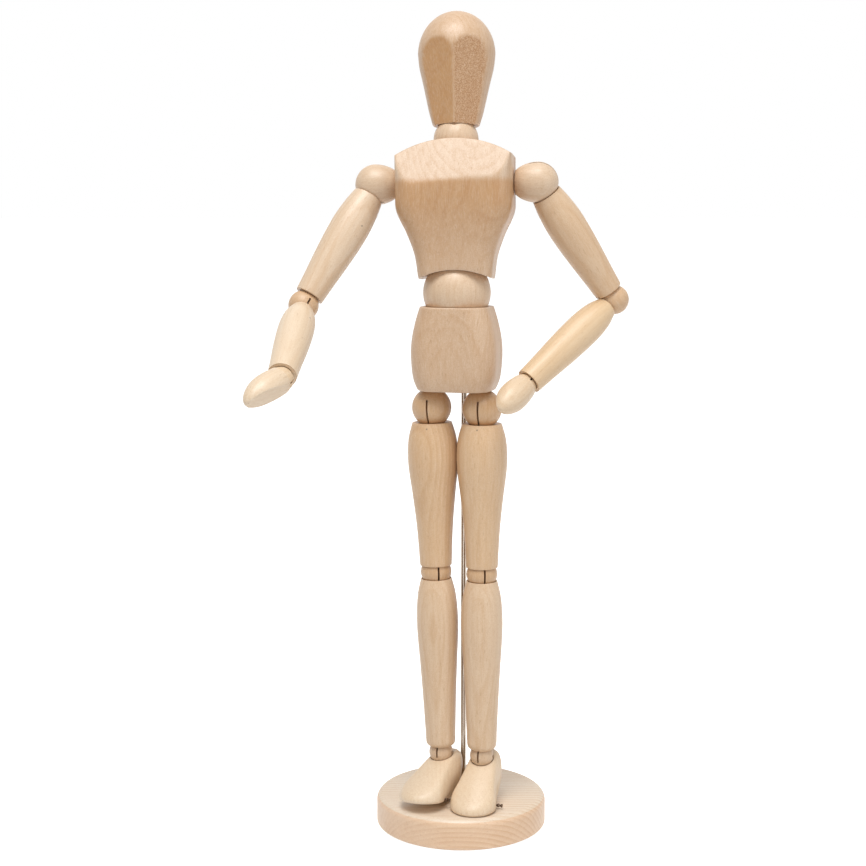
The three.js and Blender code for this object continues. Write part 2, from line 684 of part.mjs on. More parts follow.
const WOOD = {
  pale: { color: 0xe6c79f, roughness: 0.62, metalness: 0 },
  light: { color: 0xeed9b8, roughness: 0.6, metalness: 0 },
  warm: { color: 0xd2ab7c, roughness: 0.6, metalness: 0 },
  ball: { color: 0xdab98c, roughness: 0.6, metalness: 0 },
};
const STEEL = { color: 0xa8a49e, roughness: 0.3, metalness: 1 };
const SPRING_STEEL = { color: 0x8d8b88, roughness: 0.4, metalness: 1 };

function piece(parent, name, body, look) {
  const mesh = new THREE.Mesh(surface(body), new THREE.MeshStandardMaterial(look));
  mesh.name = name;
  parent.add(mesh);
  return mesh;
}

function frame(parent, position, turns = {}) {
  const group = new THREE.Group();
  group.position.set(...position);
  group.rotation.set(rad(turns.x ?? 0), rad(turns.y ?? 0), rad(turns.z ?? 0));
  parent.add(group);
  return group;
}

// Assembly

// A ball that hangs on the block or limb above it, with its hook.
function hangingBall(parent, name, radius, shankEnd, body = roundBall(radius)) {
  piece(parent, `${name}_ball`, body, WOOD.ball);
  piece(parent, `${name}_hook`, hookWire(radius, shankEnd), STEEL);
}

// A ball that stands in the block below it, with its hook pointing down.
function standingBall(parent, name, radius, shankEnd, look, body = roundBall(radius)) {
  piece(parent, `${name}_ball`, body.rotate([180, 0, 0]), look);
  piece(parent, `${name}_hook`, hookWire(radius, shankEnd).rotate([180, 0, 0]), STEEL);
}

function leg(pelvisFrame, side, suffix) {
  const hip = frame(pelvisFrame, [side * HIP_SPACING, 0, 0], { y: LEG_LEAN[suffix] });
  hangingBall(hip, `hip_${suffix}`, HIP_BALL, HIP_HOOK_REACH - HOOK_END_ROOM);
  piece(hip, `thigh_${suffix}`, limb(THIGH), WOOD.pale);
  const thighSpring = limbSpring(THIGH_COIL_DEPTH, THIGH_WIRE_END);
  piece(hip, `thigh_spring_${suffix}`, thighSpring, SPRING_STEEL);

  const knee = frame(hip, [0, 0, -THIGH_SPAN], { z: KNEE_TURN });
  hangingBall(knee, `knee_${suffix}`, KNEE_BALL, THIGH_SPAN - THIGH_WIRE_END - END_GAP);
  piece(knee, `shin_${suffix}`, limb(SHIN), WOOD.pale);
  const shinSpring = twoEyedSpring(SHIN_COIL_DEPTH, SHIN_STRIP_LENGTH, SHIN_SPAN, ANKLE_KERF);
  piece(knee, `shin_spring_${suffix}`, shinSpring, SPRING_STEEL);

  const ankle = frame(knee, [0, 0, -SHIN_SPAN], { z: ANKLE_KERF });
  const ankleBend = frame(ankle, [0, 0, 0], { x: ANKLE_BEND[suffix] });
  const post = SOLE_DROP - POST_FLOOR - END_GAP;
  standingBall(ankleBend, `ankle_${suffix}`, ANKLE_BALL, post, WOOD.ball);
  const footTurn = frame(ankleBend, [0, 0, 0], { z: FOOT_TURN[suffix] });
  piece(footTurn, `foot_${suffix}`, foot(), WOOD.light);
  piece(footTurn, `sole_pin_${suffix}`, solePin(), STEEL);
}

function arm(chestFrame, side, suffix) {
  const place = [side * SHOULDER_SPACING, 0, SHOULDER_ABOVE_WAIST];
  const socket = frame(chestFrame, place, { y: -90 * side });
  const shoulder = frame(socket, [0, 0, 0], { z: SHOULDER_SWING[suffix] });
  const shoulderShank = SHOULDER_SPACING - CROSS_SPRING_HALF - END_GAP;
  hangingBall(shoulder, `shoulder_${suffix}`, SHOULDER_BALL, shoulderShank, shoulderBall());

  const upper = frame(shoulder, [0, 0, 0], { x: SHOULDER_RAISE[suffix] });
  piece(upper, `upper_arm_${suffix}`, limb(UPPER_ARM), WOOD.pale);
  const upperSpring = limbSpring(UPPER_ARM_COIL_DEPTH, UPPER_ARM_WIRE_END);
  piece(upper, `upper_arm_spring_${suffix}`, upperSpring, SPRING_STEEL);

  const elbow = frame(upper, [0, 0, -UPPER_ARM_SPAN], { z: ELBOW_TURN[suffix] });
  const elbowShank = UPPER_ARM_SPAN - UPPER_ARM_WIRE_END - END_GAP;
  hangingBall(elbow, `elbow_${suffix}`, ELBOW_BALL, elbowShank);

  const fore = frame(elbow, [0, 0, 0], { x: ELBOW_BEND[suffix] });
  piece(fore, `forearm_${suffix}`, limb(FOREARM), WOOD.light);
  const kerf = WRIST_KERF[suffix];
  const stripLength = FOREARM_STRIP_LENGTH;
  const foreSpring = twoEyedSpring(FOREARM_COIL_DEPTH, stripLength, FOREARM_SPAN, kerf);
  piece(fore, `forearm_spring_${suffix}`, foreSpring, SPRING_STEEL);

  const wrist = frame(fore, [0, 0, -FOREARM_SPAN], { z: kerf });
  const wristBend = frame(wrist, [0, 0, 0], { x: WRIST_BEND[suffix] });
  standingBall(wristBend, `wrist_${suffix}`, WRIST_BALL, HAND_HOOK_REACH, WOOD.light);
  const handTurn = frame(wristBend, [0, 0, 0], { z: HAND_TURN[suffix] });
  piece(handTurn, `hand_${suffix}`, hand(), WOOD.light);
}

function crossSpring() {
  return coil(CROSS_SPRING_HALF, -CROSS_SPRING_HALF).rotate([0, 90, 0]);
}

// The chest with its arms, neck and head, around the middle of the waist.
function upperBody(parent) {
  const cross = frame(parent, [0, 0, SHOULDER_ABOVE_WAIST]);
  piece(parent, 'chest', chest(), WOOD.warm);
  piece(cross, 'shoulder_spring', crossSpring(), SPRING_STEEL);
  arm(parent, 1, 'left');
  arm(parent, -1, 'right');

  const neck = frame(parent, [0, 0, CHEST_TOP], { y: NECK_LEAN });
  const shank = NECK_HOOK_DEPTH - HOOK_END_ROOM;
  const neckBall = roundBall(NECK_BALL, 16, NECK_BALL * POCKET_REACH);
  standingBall(neck, 'neck', NECK_BALL, shank, WOOD.ball, neckBall);
  const nod = frame(neck, [0, 0, 0], { x: HEAD_NOD });
  piece(nod, 'neck_link', blockLink(HEAD_LINK_REACH), SPRING_STEEL);
  piece(nod, 'head', head(), WOOD.warm);
}

function mannequin() {
  const object = new THREE.Group();
  object.name = 'artist_mannequin';
  piece(object, 'base', base(), WOOD.pale);
  piece(object, 'support_rod', supportRod(), STEEL);

  const figure = frame(object, [ROD_SIDE, 0, 0], { z: FIGURE_YAW });
  const pelvisFrame = frame(figure, [PELVIS_SIDE, -ROD_SETBACK, HIP_HEIGHT]);
  piece(pelvisFrame, 'pelvis', pelvis(), WOOD.warm);
  leg(pelvisFrame, 1, 'left');
  leg(pelvisFrame, -1, 'right');

  const waist = frame(pelvisFrame, [0, 0, WAIST_ABOVE_HIPS], { y: WAIST_LEAN });
  const shank = WAIST_HOOK_DEPTH - HOOK_END_ROOM;
  const waistBall = roundBall(WAIST_BALL, 20, WAIST_BALL * POCKET_REACH);
  standingBall(waist, 'waist', WAIST_BALL, shank, WOOD.ball, waistBall);
  const waistBend = frame(waist, [0, 0, 0], { x: WAIST_BACK });
  piece(waistBend, 'waist_link', blockLink(WAIST_LINK_REACH), SPRING_STEEL);
  upperBody(frame(waistBend, [0, 0, 0], { z: WAIST_TURN }));
  return object;
}

export default mannequin();
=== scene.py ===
"""Wooden artist mannequin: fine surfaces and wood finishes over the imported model, with a studio.

Lengths inside the shape functions are millimetres in a piece's own frame; place() turns them
into metres in the model's frame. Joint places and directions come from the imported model.
"""
import json

import bmesh
import bpy
import numpy as np
from bpy.props import FloatProperty, FloatVectorProperty, IntProperty, PointerProperty
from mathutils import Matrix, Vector


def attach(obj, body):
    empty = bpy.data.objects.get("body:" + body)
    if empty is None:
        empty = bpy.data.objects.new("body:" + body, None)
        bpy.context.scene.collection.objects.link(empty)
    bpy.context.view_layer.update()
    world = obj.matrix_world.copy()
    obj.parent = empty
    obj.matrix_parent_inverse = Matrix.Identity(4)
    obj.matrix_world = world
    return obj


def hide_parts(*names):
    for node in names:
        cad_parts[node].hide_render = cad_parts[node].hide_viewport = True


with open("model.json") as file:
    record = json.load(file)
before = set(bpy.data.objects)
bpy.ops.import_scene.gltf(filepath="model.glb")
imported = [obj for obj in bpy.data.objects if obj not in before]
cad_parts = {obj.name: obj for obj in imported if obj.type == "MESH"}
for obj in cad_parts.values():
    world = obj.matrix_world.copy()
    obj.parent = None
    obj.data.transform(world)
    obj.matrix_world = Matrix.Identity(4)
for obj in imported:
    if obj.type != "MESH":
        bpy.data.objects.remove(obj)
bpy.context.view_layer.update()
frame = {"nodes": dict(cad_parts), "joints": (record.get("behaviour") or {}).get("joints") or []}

bl_info = {
    "name": "Artist Mannequin",
    "version": (1, 0, 0),
    "blender": (4, 5, 0),
    "location": "3D View > Sidebar > Mannequin",
    "description": "Builds a jointed wooden artist mannequin on its round base",
    "category": "Add Mesh",
}

MM = 0.001

# Meshes: points nearer than this, in metres, become one, and edges sharper than this, in
# degrees, are shaded sharp
MERGE_DISTANCE = 2e-6
SHARP_ANGLE = 38.0
# Edge wear begins at the first bend and is full when the second has been added to it
WEAR_START = 0.35
WEAR_RANGE = 0.9

JOINTS = {joint["name"]: joint for joint in frame["joints"]}
SIDES = ("left", "right")
UP = np.array([0.0, 0.0, 1.0])

# Radius of each joint's ball
BALLS = {
    "waist": 13.4, "neck": 8.85, "shoulder": 7.95, "elbow": 5.9, "wrist": 4.7,
    "hip": 7.9, "knee": 6.2, "ankle": 4.85,
}

# For each ball, the joint that turns it and the joint that bends on its pin; then, for the balls
# out on a limb, the next one towards the body
BALL_JOINTS = {
    "waist": ("waist_turn", "waist_bend"), "neck": ("neck_turn", "head_nod"),
    "shoulder": ("shoulder_swing", "shoulder_raise"), "elbow": ("elbow_turn", "elbow_bend"),
    "wrist": ("hand_turn", "wrist_bend"), "hip": ("hip_turn", "hip_swing"),
    "knee": ("knee_turn", "knee_bend"), "ankle": ("foot_turn", "ankle_bend"),
}
BALL_ABOVE = {"elbow": "shoulder", "wrist": "elbow", "knee": "hip", "ankle": "knee"}
STANDING_BALLS = ("waist", "neck")

# Saw cuts, as shares of the ball's radius: how far past the middle they rise, and how far to
# both sides the hidden pocket of a standing ball reaches
KERF_RISE = 0.45
POCKET_REACH = 0.45
# A ball's slices beside its saw cut: how far outside the cut the nearest ones lie, and how far
# outside it the others stay
CUT_STEPS = (0.22, 0.08, 0.0)
CUT_CLEARANCE = 0.25

# Cross pins: radius and depth of their holes, and the balls whose holes stay open
PIN_HOLE = 0.7
PIN_HOLE_DEPTH = 1.1
OPEN_PIN_HOLES = ("hip", "knee", "ankle")

# A shoulder ball is drawn out to a flat seat: how far it lies from the middle, its radius, and
# how softly its edge is rounded
SHOULDER_SEAT = 9.1
SHOULDER_FLAT = 4.5
SEAT_SOFTNESS = 0.15

# The bore through a limb
BORE_RADIUS = 1.9

# Base and rod
BASE_RADIUS = 35.0
BASE_HEIGHT = 12.5
BASE_TOP_ROUNDING = 3.0
BASE_FOOT_ROUNDING = 1.2
ROD_RADIUS = 1.15
ROD_LOW = 3.8
ROD_TOP = 205.3
ROD_SIDE = 0.9
ROD_CHAMFER = 0.25

# Pelvis, above the middle of the hips
PELVIS_RISE = 7.3
PELVIS_HEIGHT = 33.2
PELVIS_HALF_WIDTH = 17.3
PELVIS_HALF_DEPTH = 13.7
PELVIS_CORNER = 9.0
WAIST_ABOVE_HIPS = 46.0
HIP_SPACING = 10.35

# Chest, above the middle of the waist
CHEST_RISE = 5.1
CHEST_HEIGHT = 54.5
CHEST_TOP = CHEST_RISE + CHEST_HEIGHT
CHEST_HALF_WIDTH = 22.8
CHEST_FRONT = 19.0
CHEST_BACK = 15.2
CHEST_CORNER = 7.5
CHEST_ARCH_RADIUS = 43.0
CHEST_HOLLOW_RISE = 3.6
CHEST_HOLLOW_RADIUS = 33.0
FACET_TOP_DEPTH = 10.6
FACET_EDGE_DEPTH = 18.0
FACET_EDGE_DROP = 16.5
FACET_ROLL = 2.25
BEVEL_EDGE_DROP = 11.9
BEVEL_TOP_DEPTH = 10.6
# How far above the neck's middle the eye of its hollow stands
NECK_SEAT_LIFT = 4.0

# Head, above the middle of the neck
CHIN_RISE = 5.5
HEAD_TOP = 50.2
HEAD_WIDEST_DROP = 16.9
HEAD_RADIUS = 15.2
FACE_DISTANCE = 9.9
FACE_TURN = 27.0
FACE_SLOPE = 12.5
FACE_RISE = 11.6
# How far a face has to be cut back to count as planed
FACE_BLEND = 0.4

# Feet, from the middle of the ankle
SOLE_DROP = 18.4
HEEL_TOP = 0.8
HEEL_REACH = 10.2
HEEL_HALF_WIDTH = 7.0
HEEL_OFFSET = 0.5
TOE_REACH = 21.6
TOE_HALF_WIDTH = 9.4
TOE_THICKNESS = 1.0
INSTEP_AHEAD = 3.5
INSTEP_DROP = 4.3
INSTEP_CROWN = 20.0
INSTEP_LIFT = 1.3
FOOT_TURN = {"left": 4.0, "right": -13.0}

# The wires under the soles
WIRE_AHEAD = 8.0
WIRE_RADIUS = 0.6
WIRE_LIFT = 0.8
WIRE_OUT = {"left": 1.6, "right": 0.2}
WIRE_WAVE = 0.18
WIRE_WAVE_LENGTH = 1.5
WIRE_INNER_SHARE = 0.8
DARK_WIRE = (0.16, 0.11, 0.08)

# Hands, from the middle of the wrist
HAND_RIM_DROP = 0.6
HAND_LENGTH = 19.0
HAND_RADIUS = 5.85
HAND_LIP = 0.24
PALM_TOP_DEPTH = 4.9
PALM_TIP_DEPTH = 0.6
HAND_TURN = {"left": 9.0, "right": 30.0}

# Points down the outside of a limb
LIMB_POINTS = 96

# Limbs: span and widest radius; for each end the ball, then how far the rim lies from its middle
# and how thick the rim's lip is, as shares of the ball's radius; and the outline, as share of the
# wood's length and how far the radius has grown from the nearer rim's to the widest
LIMBS = {
    "upper_arm": (57.0, 7.7, ("shoulder", 0.755, 0.037), ("elbow", 0.763, 0.21), (
        (0.012, 0.14), (0.13, 0.66), (0.28, 1), (0.45, 0.955), (0.65, 0.68), (0.85, 0.32),
        (0.985, 0.11))),
    "forearm": (54.0, 6.85, ("elbow", 0.814, 0.073), ("wrist", 0.617, 0.24), (
        (0.03, 0.2), (0.12, 0.7), (0.25, 0.98), (0.4, 1), (0.6, 0.79), (0.8, 0.42),
        (0.985, 0.15))),
    "thigh": (67.0, 10.1, ("hip", 0.772, 0.294), ("knee", 0.452, 0.061), (
        (0.008, 0.13), (0.1, 0.76), (0.2, 1), (0.32, 0.95), (0.5, 0.62), (0.7, 0.31),
        (0.87, 0.14), (0.985, 0.065))),
    "shin": (75.6, 8.35, ("knee", 0.452, 0.045), ("ankle", 0.619, 0.146), (
        (0.008, 0.11), (0.09, 0.7), (0.2, 1), (0.33, 0.985), (0.52, 0.75), (0.72, 0.535),
        (0.9, 0.375), (0.978, 0.305))),
}

# Small nails that hold the springs: height from the limb's upper ball and degrees around it
NAILS = {"thigh_left": (-7.6, 90.0), "thigh_right": (-7.9, 90.0),
         "upper_arm_right": (-19.3, 49.0), "forearm_right": (-16.6, -75.0)}
NAIL_RADIUS = 0.34
NAIL_TONE = (0.09, 0.07, 0.055, 1.0)
NO_NAIL = (1e3, 0, 0)

# Wood grain: what its darker parts multiply the tone by, growth rings in a metre, and how far
# slow noise bends them, in metres
DEEP_TONE = (0.86, 0.76, 0.64, 1.0)
RINGS_PER_METRE = 540.0
RING_BEND = 0.007

# How much paler each wood piece is than its material's plain tone. Mostly this is the wood's own
# tone, but on the shins part of it is painted bounce light from the floor, the figure's right
# forearm is paler than its left as painted light from the key, and the right upper arm is paler
# partly as painted light from the key
PALENESS = {
    "head": 0.0, "chest": 0.09, "pelvis": 0.36, "neck": 0.42, "waist": 0.4, "shoulder": 0.45,
    "elbow": 0.15, "wrist": 0.2, "hip": 0.05, "knee": 0.05, "ankle": 0.3, "thigh": 0.12,
    "shin": 0.36, "upper_arm_left": 0.28, "upper_arm_right": 0.55, "forearm_left": 0.0,
    "forearm_right": 0.55, "hand_left": 0.35, "hand_right": 0.5, "foot": 0.4,
}
# Painted light: the base's top is painted paler than its side, as painted light from above and a
# painted reflection of the white studio
BASE_TOP_PALENESS = 0.9
BASE_SIDE_PALENESS = 0.1

# The chest is painted paler at its underside, as painted bounce light from below, which fades
# out this far below the facet, and on its front above the facet's edge, as painted light from
# above on the sloping facet, which fades in over this depth
CHEST_PAINTED_LIGHT = 0.4
CHEST_FADE_DROP = 9.0
FRONT_FADE = 4.0

# The head's turned wood is painted paler than its faces, as painted light from above, apart
# from a strip along the keel that keeps the faces' shaded tone; one face is speckled, and is
# painted paler as painted light from its side
CROWN_LIGHT_PALENESS = 0.36
LIT_FACE_PALENESS = 0.2
SPECKLE = 0.2
FACE_SPECKLE = 0.75
KEEL_STRENGTH = 1.6
KEEL_FADE = 2.0
KEEL_TOP = 24.0
KEEL_TOP_FADE = 6.0

# Camera, as fitted to the photograph: place in metres, pitch in degrees, lens and sensor in
# millimetres
CAMERA_PLACE = (-0.01167, -0.65855, 0.25188)
CAMERA_PITCH = 7.682
CAMERA_LENS = 68.17
SENSOR_WIDTH = 36.0

# Studio, in metres
KEY_PLACE = (-0.15, -0.62, 1.6)
FILL_PLACE = (0.9, -0.8, 0.5)
LIGHT_SIZE = 0.9
LIGHT_AIM = (0, 0, 0.18)
FLOOR_RADIUS = 60.0
FLOOR_SIDES = 64
FLOOR_DROP = 0.0002
WHITE = (1, 1, 1, 1)


def amount(name, description, default, **limits):
    """A number among the settings, which is at least 0 unless its limits say otherwise."""
    limits.setdefault("min", 0)
    return FloatProperty(name=name, description=description, default=default, **limits)


def colour_setting(name, description, default):
    """A colour among the settings."""
    return FloatVectorProperty(name=name, description=description, subtype="COLOR", size=3,
                               default=default, min=0, max=1)


class ShapeSettings(bpy.types.PropertyGroup):
    """Sizes that change how finely the figure is cut and rounded."""

    steps_around: IntProperty(
        name="Steps around", description="Points around each turned piece", default=96, min=24)
    saw_cut: amount(
        "Saw cut", "Width of the cut in each ball, in millimetres", 0.75, min=0.2, precision=2)
    ball_gap: amount(
        "Ball gap", "Room between a ball and its hollow, in millimetres", 0.3, min=0.05,
        precision=2)
    edge_softness: amount(
        "Edge softness", "How far sanding has rounded the planed edges, in millimetres", 0.45,
        min=0.05, precision=2)


class FinishSettings(bpy.types.PropertyGroup):
    """Colours and strengths of the wood and metal finishes."""

    limb_wood: colour_setting(
        "Limbs", "Wood of thighs, shins and upper arms", (0.69, 0.455, 0.25))
    pale_wood: colour_setting(
        "Hands and feet", "Wood of forearms, hands and feet", (0.78, 0.58, 0.365))
    body_wood: colour_setting(
        "Body", "Wood of the chest, pelvis and head", (0.555, 0.312, 0.135))
    ball_wood: colour_setting("Balls", "Wood of the joint balls", (0.64, 0.41, 0.22))
    base_wood: colour_setting("Base", "Wood of the base", (0.86, 0.62, 0.43))
    pale_tone: colour_setting(
        "Pale tone", "What paler pieces and bright fibres lean to", (0.86, 0.76, 0.635))
    steel: colour_setting("Steel", "Rod, wires and springs", (0.5, 0.43, 0.36))
    grain_depth: amount(
        "Grain depth", "Height of the wood fibres under the light, in millimetres", 0.05,
        precision=3)
    wood_roughness: amount(
        "Wood roughness", "Roughness of the sanded wood", 0.44, max=1, subtype="FACTOR")
    wood_sheen: amount(
        "Wood sheen", "Strength of the satin reflection", 0.6, max=1, subtype="FACTOR")


class StudioSettings(bpy.types.PropertyGroup):
    """Light levels of the studio."""

    key_power: amount(
        "Key light", "Power of the large light above the camera", 20.0, unit="POWER")
    fill_power: amount(
        "Fill light", "Power of the light beside the camera", 2.5, unit="POWER")
    sky_level: amount("Sky level", "Light from all round", 0.4)


# Geometry helpers


def place(points, origin, axes):
    """Points of a piece's own frame, in mm, as metres in the model's frame: the origin plus the
    three coordinates times the frame's X, Y and Z directions."""
    return np.asarray(origin) + (points * MM) @ np.asarray(axes)


def joint_at(name):
    """The place of a joint, in metres in the model's frame."""
    return np.array(JOINTS[name]["pos_m"], float)


def joint_axis(name):
    """The direction of a joint's axis."""
    return np.array(JOINTS[name]["axis"], float)


def joint_frame(turn_joint, side_joint):
    """Origin and X, Y, Z directions at a joint: Z along the turning joint's axis, made to point
    up, and X along the bending joint's axis, made square to Z."""
    up = joint_axis(turn_joint)
    if up[2] < 0:
        up = -up
    return square_frame(joint_at(turn_joint), up, joint_axis(side_joint))


def square_frame(origin, up, across):
    """A right-handed frame with Z along up and X as near to across as is square to it."""
    up = up / np.linalg.norm(up)
    across = across - up * (across @ up)
    across = across / np.linalg.norm(across)
    return origin, np.array([across, np.cross(up, across), up])


def turned_about_z(axes, degrees):
    """The frame's X and Y directions turned about its Z."""
    angle = np.radians(degrees)
    across = axes[0] * np.cos(angle) + axes[1] * np.sin(angle)
    return np.array([across, np.cross(axes[2], across), axes[2]])


def smooth_curve(points, count):
    """A Catmull-Rom curve through the given rows, evenly spaced in its parameter: each span
    blends its two ends with slopes taken from their neighbours."""
    points = np.asarray(points, float)
    padded = np.vstack([2 * points[0] - points[1], points, 2 * points[-1] - points[-2]])
    t = np.linspace(0, len(points) - 1, count)
    span = np.minimum(t.astype(int), len(points) - 2)
    f = (t - span)[:, None]
    before, start, end, after = (padded[span + i] for i in range(4))
    return 0.5 * (2 * start + (end - before) * f
                  + (2 * before - 5 * start + 4 * end - after) * f ** 2
                  + (3 * start - before - 3 * end + after) * f ** 3)


def lower_of(a, b, softness):
    """The smaller of two values, rounded over where they meet."""
    return 0.5 * (a + b - np.sqrt((a - b) ** 2 + softness ** 2))


def revolved(profile, steps):
    """A grid turned about Z: every radius and height of the profile at every angle."""
    profile = np.asarray(profile, float)
    angle = np.linspace(0, 2 * np.pi, steps, endpoint=False)
    radius = profile[:, 0][:, None]
    height = np.broadcast_to(profile[:, 1][:, None], (len(profile), steps))
    return np.stack([radius * np.cos(angle), radius * np.sin(angle), height], axis=-1)


def arc(radius, height, size, start, end, count):
    """Radius and height along an arc, angles in degrees from the horizontal."""
    angle = np.radians(np.linspace(start, end, count))
    return np.stack([np.maximum(0, radius + size * np.cos(angle)),
                     height + size * np.sin(angle)], axis=-1)


def level(start, end, height, count):
    """Radius and height along a level line."""
    return np.stack([np.linspace(start, end, count), np.full(count, float(height))], axis=-1)


def planed(points, through, facing, softness, crown=0.0):
    """Points beyond a plane are moved back onto it, square to it, with the edge rounded over.
    With a crown radius the plane falls away to both sides of X = 0 like a drum."""
    facing = np.asarray(facing, float)
    facing = facing / np.linalg.norm(facing)
    beyond = (points - np.asarray(through, float)) @ facing
    if crown:
        beyond = beyond + points[..., 0] ** 2 / (2 * crown)
    back = 0.5 * (beyond + np.sqrt(beyond ** 2 + softness ** 2))
    return points - back[..., None] * facing


def hollowed(points, radius, middle=(0, 0, 0), lift=0.0):
    """A ball-shaped hollow: a point inside the ball goes on along its line from an eye, which
    stands the lift above the ball's middle, until it lies on the ball."""
    middle = np.asarray(middle, float)
    offset = np.array([0, 0, lift], float)
    eye = middle + offset
    ray = points - eye
    a = np.maximum((ray ** 2).sum(-1), 1e-12)
    b = (ray * offset).sum(-1)
    c = (offset ** 2).sum() - radius ** 2
    reach = (-b + np.sqrt(np.maximum(b * b - a * c, 0))) / a
    inside = ((points - middle) ** 2).sum(-1) < radius ** 2
    return np.where(inside[..., None], eye + ray * reach[..., None], points)


def joined_arcs(arcs, height, side_steps):
    """Level rings through arcs of X and Y, each arc joined to the next by a straight side."""
    share = np.linspace(0, 1, side_steps + 2)[1:-1]
    xs, ys = [], []
    for (x, y), (next_x, next_y) in zip(arcs, arcs[1:] + arcs[:1]):
        xs += [x, x[:, -1:] + (next_x[:, :1] - x[:, -1:]) * share]
        ys += [y, y[:, -1:] + (next_y[:, :1] - y[:, -1:]) * share]
    x = np.concatenate(xs, axis=1)
    y = np.concatenate(ys, axis=1)
    return np.stack([x, y, np.broadcast_to(height, x.shape)], axis=-1)


def block_rings(rings, arc_steps=14, side_steps=16):
    """Level rounded rectangles from rows of height, half width, front depth, back depth and
    corner rounding: four quarter arcs joined by straight sides."""
    height, half, front, back, corner = (rings[:, i][:, None] for i in range(5))
    corners = ((1, back, 0), (-1, back, 90), (-1, -front, 180), (1, -front, 270))
    quarter = np.linspace(0, 90, arc_steps)
    arcs = []
    for side, depth, start in corners:
        angle = np.radians(start + quarter)
        middle_y = depth - np.sign(depth) * corner
        arcs.append((side * (half - corner) + corner * np.cos(angle),
                     middle_y + corner * np.sin(angle)))
    return joined_arcs(arcs, height, side_steps)


def cap_rings(ring, count, centre=(0.0, 0.0)):
    """Rings drawn in from an outline to a point, all at the outline's own heights averaged in."""
    shares = np.linspace(1, 0, count + 1)[1:][:, None, None]
    middle = np.array([centre[0], centre[1], ring[:, 2].mean()])
    return middle + (ring - middle) * shares


def capped(rings, below, above, centre=(0.0, 0.0)):
    """Rings with both ends drawn in to a point, in so many rings each; the centre is the upper
    end's point."""
    return np.concatenate([cap_rings(rings[0], below)[::-1], rings,
                           cap_rings(rings[-1], above, centre)])


def convexity(grid):
    """How sharply the surface bends outward at each point, from 0 on flats to 1 on edges: the
    second difference along each grid direction, against the normal, over the step squared."""
    along = np.gradient(grid, axis=0)
    around = (np.roll(grid, -1, 1) - np.roll(grid, 1, 1)) / 2
    normal = np.cross(around, along)
    normal /= np.maximum(np.linalg.norm(normal, axis=-1, keepdims=True), 1e-9)
    bend_around = np.roll(grid, -1, 1) + np.roll(grid, 1, 1) - 2 * grid
    bend_along = np.zeros_like(grid)
    bend_along[1:-1] = grid[2:] + grid[:-2] - 2 * grid[1:-1]
    result = 0
    for bend, step in ((bend_around, around), (bend_along, along)):
        size = np.maximum((step ** 2).sum(-1), 1e-4)
        result = np.maximum(result, -(bend * normal).sum(-1) / size)
    return np.clip((result - WEAR_START) / WEAR_RANGE, 0, 1)


def new_piece(name, grid, origin, axes, offset, looped=False, paleness=0.0,
              speckle=SPECKLE, nail=NO_NAIL, bow=(0.0, 0.0)):
    """A mesh from a grid of rings, closed round each ring. The ends close on themselves, or the
    last ring joins the first when looped. Its attributes hold the place in the grain, the worn
    edges, how pale and how speckled the wood is, with painted light in the paleness of some
    pieces, and the way from the nail. The grain bows towards -Y with the square of the distance
    from the bow's height."""
    rings, steps, _ = grid.shape
    points = grid.reshape(-1, 3)
    grain = points * MM + np.asarray(offset, float)
    grain[:, 1] -= bow[1] * (points[:, 2] - bow[0]) ** 2 * MM
    down = np.arange(rings if looped else rings - 1)[:, None]
    across = np.arange(steps)[None, :]
    a = down * steps + across
    b = down * steps + (across + 1) % steps
    c = ((down + 1) % rings) * steps + (across + 1) % steps
    d = ((down + 1) % rings) * steps + across
    faces = np.stack(np.broadcast_arrays(a, b, c, d), axis=-1).reshape(-1, 4)
    mesh = bpy.data.meshes.new(name)
    mesh.from_pydata(place(points, origin, axes), [], faces)
    vectors = {"grain_place": grain,
               "nail_place": (points - np.asarray(nail, float)) * MM}
    for label, values in vectors.items():
        attribute = mesh.attributes.new(label, "FLOAT_VECTOR", "POINT")
        attribute.data.foreach_set("vector", values.astype(np.float32).ravel())
    scalars = {"edge_wear": convexity(grid), "paleness": paleness, "speckle": speckle}
    for label, values in scalars.items():
        attribute = mesh.attributes.new(label, "FLOAT", "POINT")
        values = np.broadcast_to(values, (rings, steps)).astype(np.float32)
        attribute.data.foreach_set("value", values.ravel())
    tidy_mesh(mesh)
    return linked(name, mesh)


def linked(name, data):
    """A new object of the given data, in the scene."""
    thing = bpy.data.objects.new(name, data)
    bpy.context.scene.collection.objects.link(thing)
    return thing


def tidy_mesh(mesh):
    """Merges points that coincide, at poles and seams, turns the faces outward and shades it
    smooth apart from its sharp edges."""
    work = bmesh.new()
    work.from_mesh(mesh)
    bmesh.ops.remove_doubles(work, verts=work.verts, dist=MERGE_DISTANCE)
    bmesh.ops.dissolve_degenerate(work, edges=work.edges, dist=1e-7)
    bmesh.ops.recalc_face_normals(work, faces=work.faces)
    work.to_mesh(mesh)
    work.free()
    mesh.polygons.foreach_set("use_smooth", np.ones(len(mesh.polygons), bool))
    mesh.set_sharp_from_angle(angle=np.radians(SHARP_ANGLE))
    mesh.update()


def finish_piece(piece, material, slot, body, *nodes):
    """Gives a piece its material, the body it moves with and the model nodes it stands for."""
    piece.data.materials.clear()
    piece.data.materials.append(material)
    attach(piece, body)
    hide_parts(*nodes)
    return piece


# Materials


